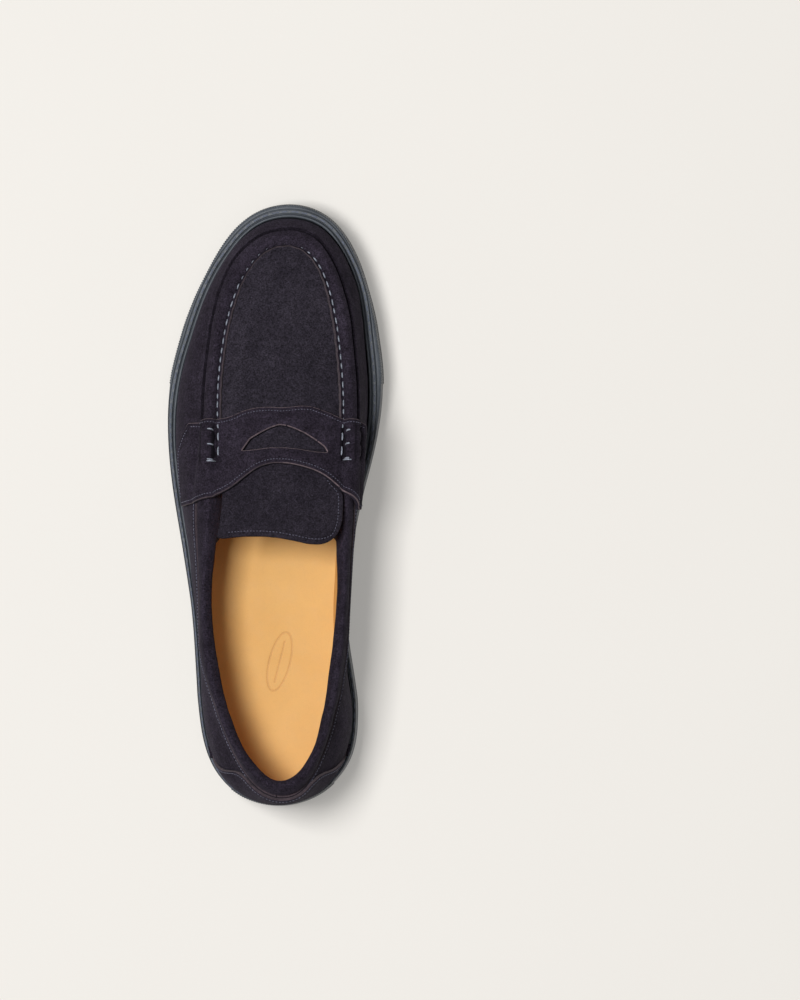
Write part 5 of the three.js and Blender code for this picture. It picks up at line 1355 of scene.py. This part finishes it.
rows = []
for nm, line, dist, node in (("strap_front_stitches", front_l, -1.9, "strap_front_stitch"), ("strap_back_stitches", back_l, 1.9, "strap_back_stitch")):
    q = inner_line(line, dist, 2.5, 2.5)
    P, N = strap_line(q)
    V, F = stitch_mesh(stitch_line(P, N, 1.5, 0.92, wander=0.05), 0.19, 0.14, 0.3, sides=6, steps=6)
    make(nm, V, F, [FINE], stands_for=[node], slot="fine_thread")
parts = []
for line, dist in ((right_l, -2.2), (left_l, 2.2)):
    q = inner_line(line, dist, 3.0, 3.0)
    P, N = strap_line(q)
    parts += stitch_line(P, N, 1.5, 0.92, wander=0.05)
V, F = stitch_mesh(parts, 0.19, 0.14, 0.3, sides=6, steps=6)
make("strap_tab_stitches", V, F, [FINE], slot="fine_thread")


# lashings: three bars over the ridge and a line of dashes along the seam
def lashing(name, sd, node):
    lines = []
    ys = LASH_Y[sd]

    def bar(p0, p1, y0, y1, n=14):
        p = np.linspace(p0, p1, n) * sd
        y = np.linspace(y0, y1, n)
        a = a_of_p(p)
        q = np.column_stack([a, y])
        return strap_line(q)

    for i, y in enumerate(ys):
        lines.append(bar(2.58 if sd < 0 else 2.48, 3.12 if sd < 0 else 3.02, y, y + 0.1))
    lines.append(bar(2.36, 3.1, ys[2] - 0.75, ys[2] - 0.95))
    dash = []
    for y0, y1 in ((39.6, 38.0), (35.6, 31.6), (28.6, 24.2)):
        p = np.full(8, 1.98 * sd)
        q = np.column_stack([a_of_p(p), np.linspace(y0, y1, 8)])
        lines.append(strap_line(q))
    V, F = stitch_mesh(lines, 0.41, 0.36, 0.5, sides=9, steps=14, twist=0.16, flat=0.9)
    make(name, V, F, [HEAVY], stands_for=[node], slot="heavy_thread")


lashing("lashing_lateral", -1, "lashing_lateral")
lashing("lashing_medial", 1, "lashing_medial")


# ---------- tongue ----------
def tongue_z(x, y):
    return top_z(x, y) + np.where(x > 4.2, 0.7 * ((x - 4.2) / 32) ** 2, 0)


def tongue_surface(x, y):
    P = np.stack([x, y, tongue_z(x, y)], -1)
    dx = tongue_z(x + 0.5, y) - tongue_z(x - 0.5, y)
    dy = tongue_z(x, y + 0.5) - tongue_z(x, y - 0.5)
    return P, unit(np.stack([-dx, -dy, np.ones_like(dx)], -1))


def tongue_outline(m, y0):
    ye = np.linspace(y0, -15.6, 60)
    left = np.column_stack([tongue_left(ye) + m, ye])
    xe = np.linspace(-26.7 + m, 30.6 - m, 120)
    end = np.column_stack([xe, tongue_end(xe) + m])
    yr = np.linspace(-17.2 + m, y0, 60)
    right = np.column_stack([tongue_right(yr) - m + 1.4 * bell(yr - 7, 5), yr])
    q = np.concatenate([left, end, right])
    q = resample(q, step=0.5)
    k = np.exp(-(np.arange(-5, 6) / 2.0) ** 2)
    k /= k.sum()
    s_ = np.stack([np.convolve(q[:, c], k, "valid") for c in (0, 1)], -1)
    return np.concatenate([q[:5], s_, q[-5:]])


def tongue_relief(x, y, P=None):
    Q = np.stack([x, y, 0 * x], -1)
    soft_ = 0.35 * noise(Q * np.array([1, 0.5, 1]), 13, 21) + 0.10 * noise(Q, 6, 22)
    return soft_ * ease(8, 0, y) - 0.25 * bell(x + 24.3 + 0.15 * y, 1.6) * ease(6, 0, y)


tongue_parts = []
kw = dict(body=None)
tg = cut_sheet("tongue", [tongue_outline(0, 27.9)], tongue_surface, -SUEDE, 0.0, [SUEDE_TOP, RAW, LINING], step=0.95, width=0.5, drop=0.5, raw=False, relief=tongue_relief,
               stands_for=["tongue_root", "tongue_flap"], slot="suede", **kw)
tl_ = cut_sheet("tongue_lining", [tongue_outline(1.6, 20.0)], tongue_surface, -SUEDE - 1.25, -SUEDE - 0.2, [LINING, LINING], step=1.6, width=0.5, drop=0.3, raw=False, relief=tongue_relief,
                stands_for=["tongue_lining"], slot="lining_leather", **kw)
q = resample(tongue_outline(2.35, 14.0), step=0.25)
q = q[int(np.argmax((q[:, 1] < -13) & (q[:, 0] > -21))):]        # sewn along the free end and up the inner side only
P, N = tongue_surface(q[:, 0], q[:, 1])
P = P + N * tongue_relief(q[:, 0], q[:, 1])[:, None]
V, F = stitch_mesh(stitch_line(P, N, 1.65, 1.0, wander=0.05), 0.19, 0.14, 0.3, sides=6, steps=6)
tst = make("tongue_stitches", V, F, [FINE], stands_for=["tongue_stitch_thread"], slot="fine_thread", **kw)
for o in (tg, tl_, tst):
    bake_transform(o)


# ---------- stage, light, camera ----------
floor_mat = Mat("paper_floor", 0.9, 0.1)
f1 = floor_mat.noise(3, 3, 0.5)
floor_tone = floor_mat.ramp(f1, [(0.3, (0.540, 0.526, 0.502, 1)), (0.7, (0.547, 0.533, 0.509, 1))])
floor_mat.colour(floor_tone)
floor_mat.link(floor_tone, floor_mat.b.inputs["Emission Color"])      # a sweep lit from below, so shadows stay open
floor_mat.b.inputs["Emission Strength"].default_value = 0.50
floor_mat.bump((floor_mat.noise(900, 2, 0.5), 0.05, 0.0002))
me = bpy.data.meshes.new("floor")
e = 4.0
nf = 17
xs = np.linspace(-e, e, nf)
fv = [(x, y, -0.0002) for y in xs for x in xs]
ff = [(j * nf + i, j * nf + i + 1, (j + 1) * nf + i + 1, (j + 1) * nf + i) for j in range(nf - 1) for i in range(nf - 1)]
me.from_pydata(fv, [], ff)
me.materials.append(floor_mat.m)
floor = bpy.data.objects.new("floor", me)
bpy.context.scene.collection.objects.link(floor)
floor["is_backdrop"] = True

world = bpy.data.worlds.new("studio") if bpy.context.scene.world is None else bpy.context.scene.world
bpy.context.scene.world = world
world.use_nodes = True
bg = world.node_tree.nodes["Background"]
bg.inputs["Color"].default_value = (1.0, 0.985, 0.96, 1)
bg.inputs["Strength"].default_value = 0.10


def softbox(name, loc, target, size, power, colour=(1, 1, 1)):
    li = bpy.data.lights.new(name, "AREA")
    li.shape = "RECTANGLE"
    li.size, li.size_y = size
    li.energy = power
    li.color = colour
    o = bpy.data.objects.new(name, li)
    o.location = loc
    o.rotation_mode = "QUATERNION"
    o.rotation_quaternion = (Vector(target) - Vector(loc)).to_track_quat("-Z", "Y")
    bpy.context.scene.collection.objects.link(o)
    return o


softbox("key", (-0.70, 0.18, 3.2), (0.0, 0, 0.0), (0.85, 0.9), 104, (1.0, 0.99, 0.975))
softbox("overhead", (0.0, 0.0, 3.6), (0, 0, 0), (2.6, 2.6), 16, (1.0, 0.99, 0.985))
bpy.context.scene.view_settings.view_transform = "Standard"
bpy.context.scene.view_settings.look = "None"

cam = bpy.data.cameras.new("camera")
co = bpy.data.objects.new("camera", cam)
bpy.context.scene.collection.objects.link(co)
cam.lens, cam.sensor_width = 1200, 36
tilt = math.radians(2.5)
dist = 1200 * 0.5 / 36
co.location = (0.06178 + dist * math.sin(tilt), 0.00267, dist * math.cos(tilt))
co.rotation_euler = (0, tilt, 0)
cam.clip_start, cam.clip_end = 0.1, 50
bpy.context.scene.camera = co

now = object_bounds()
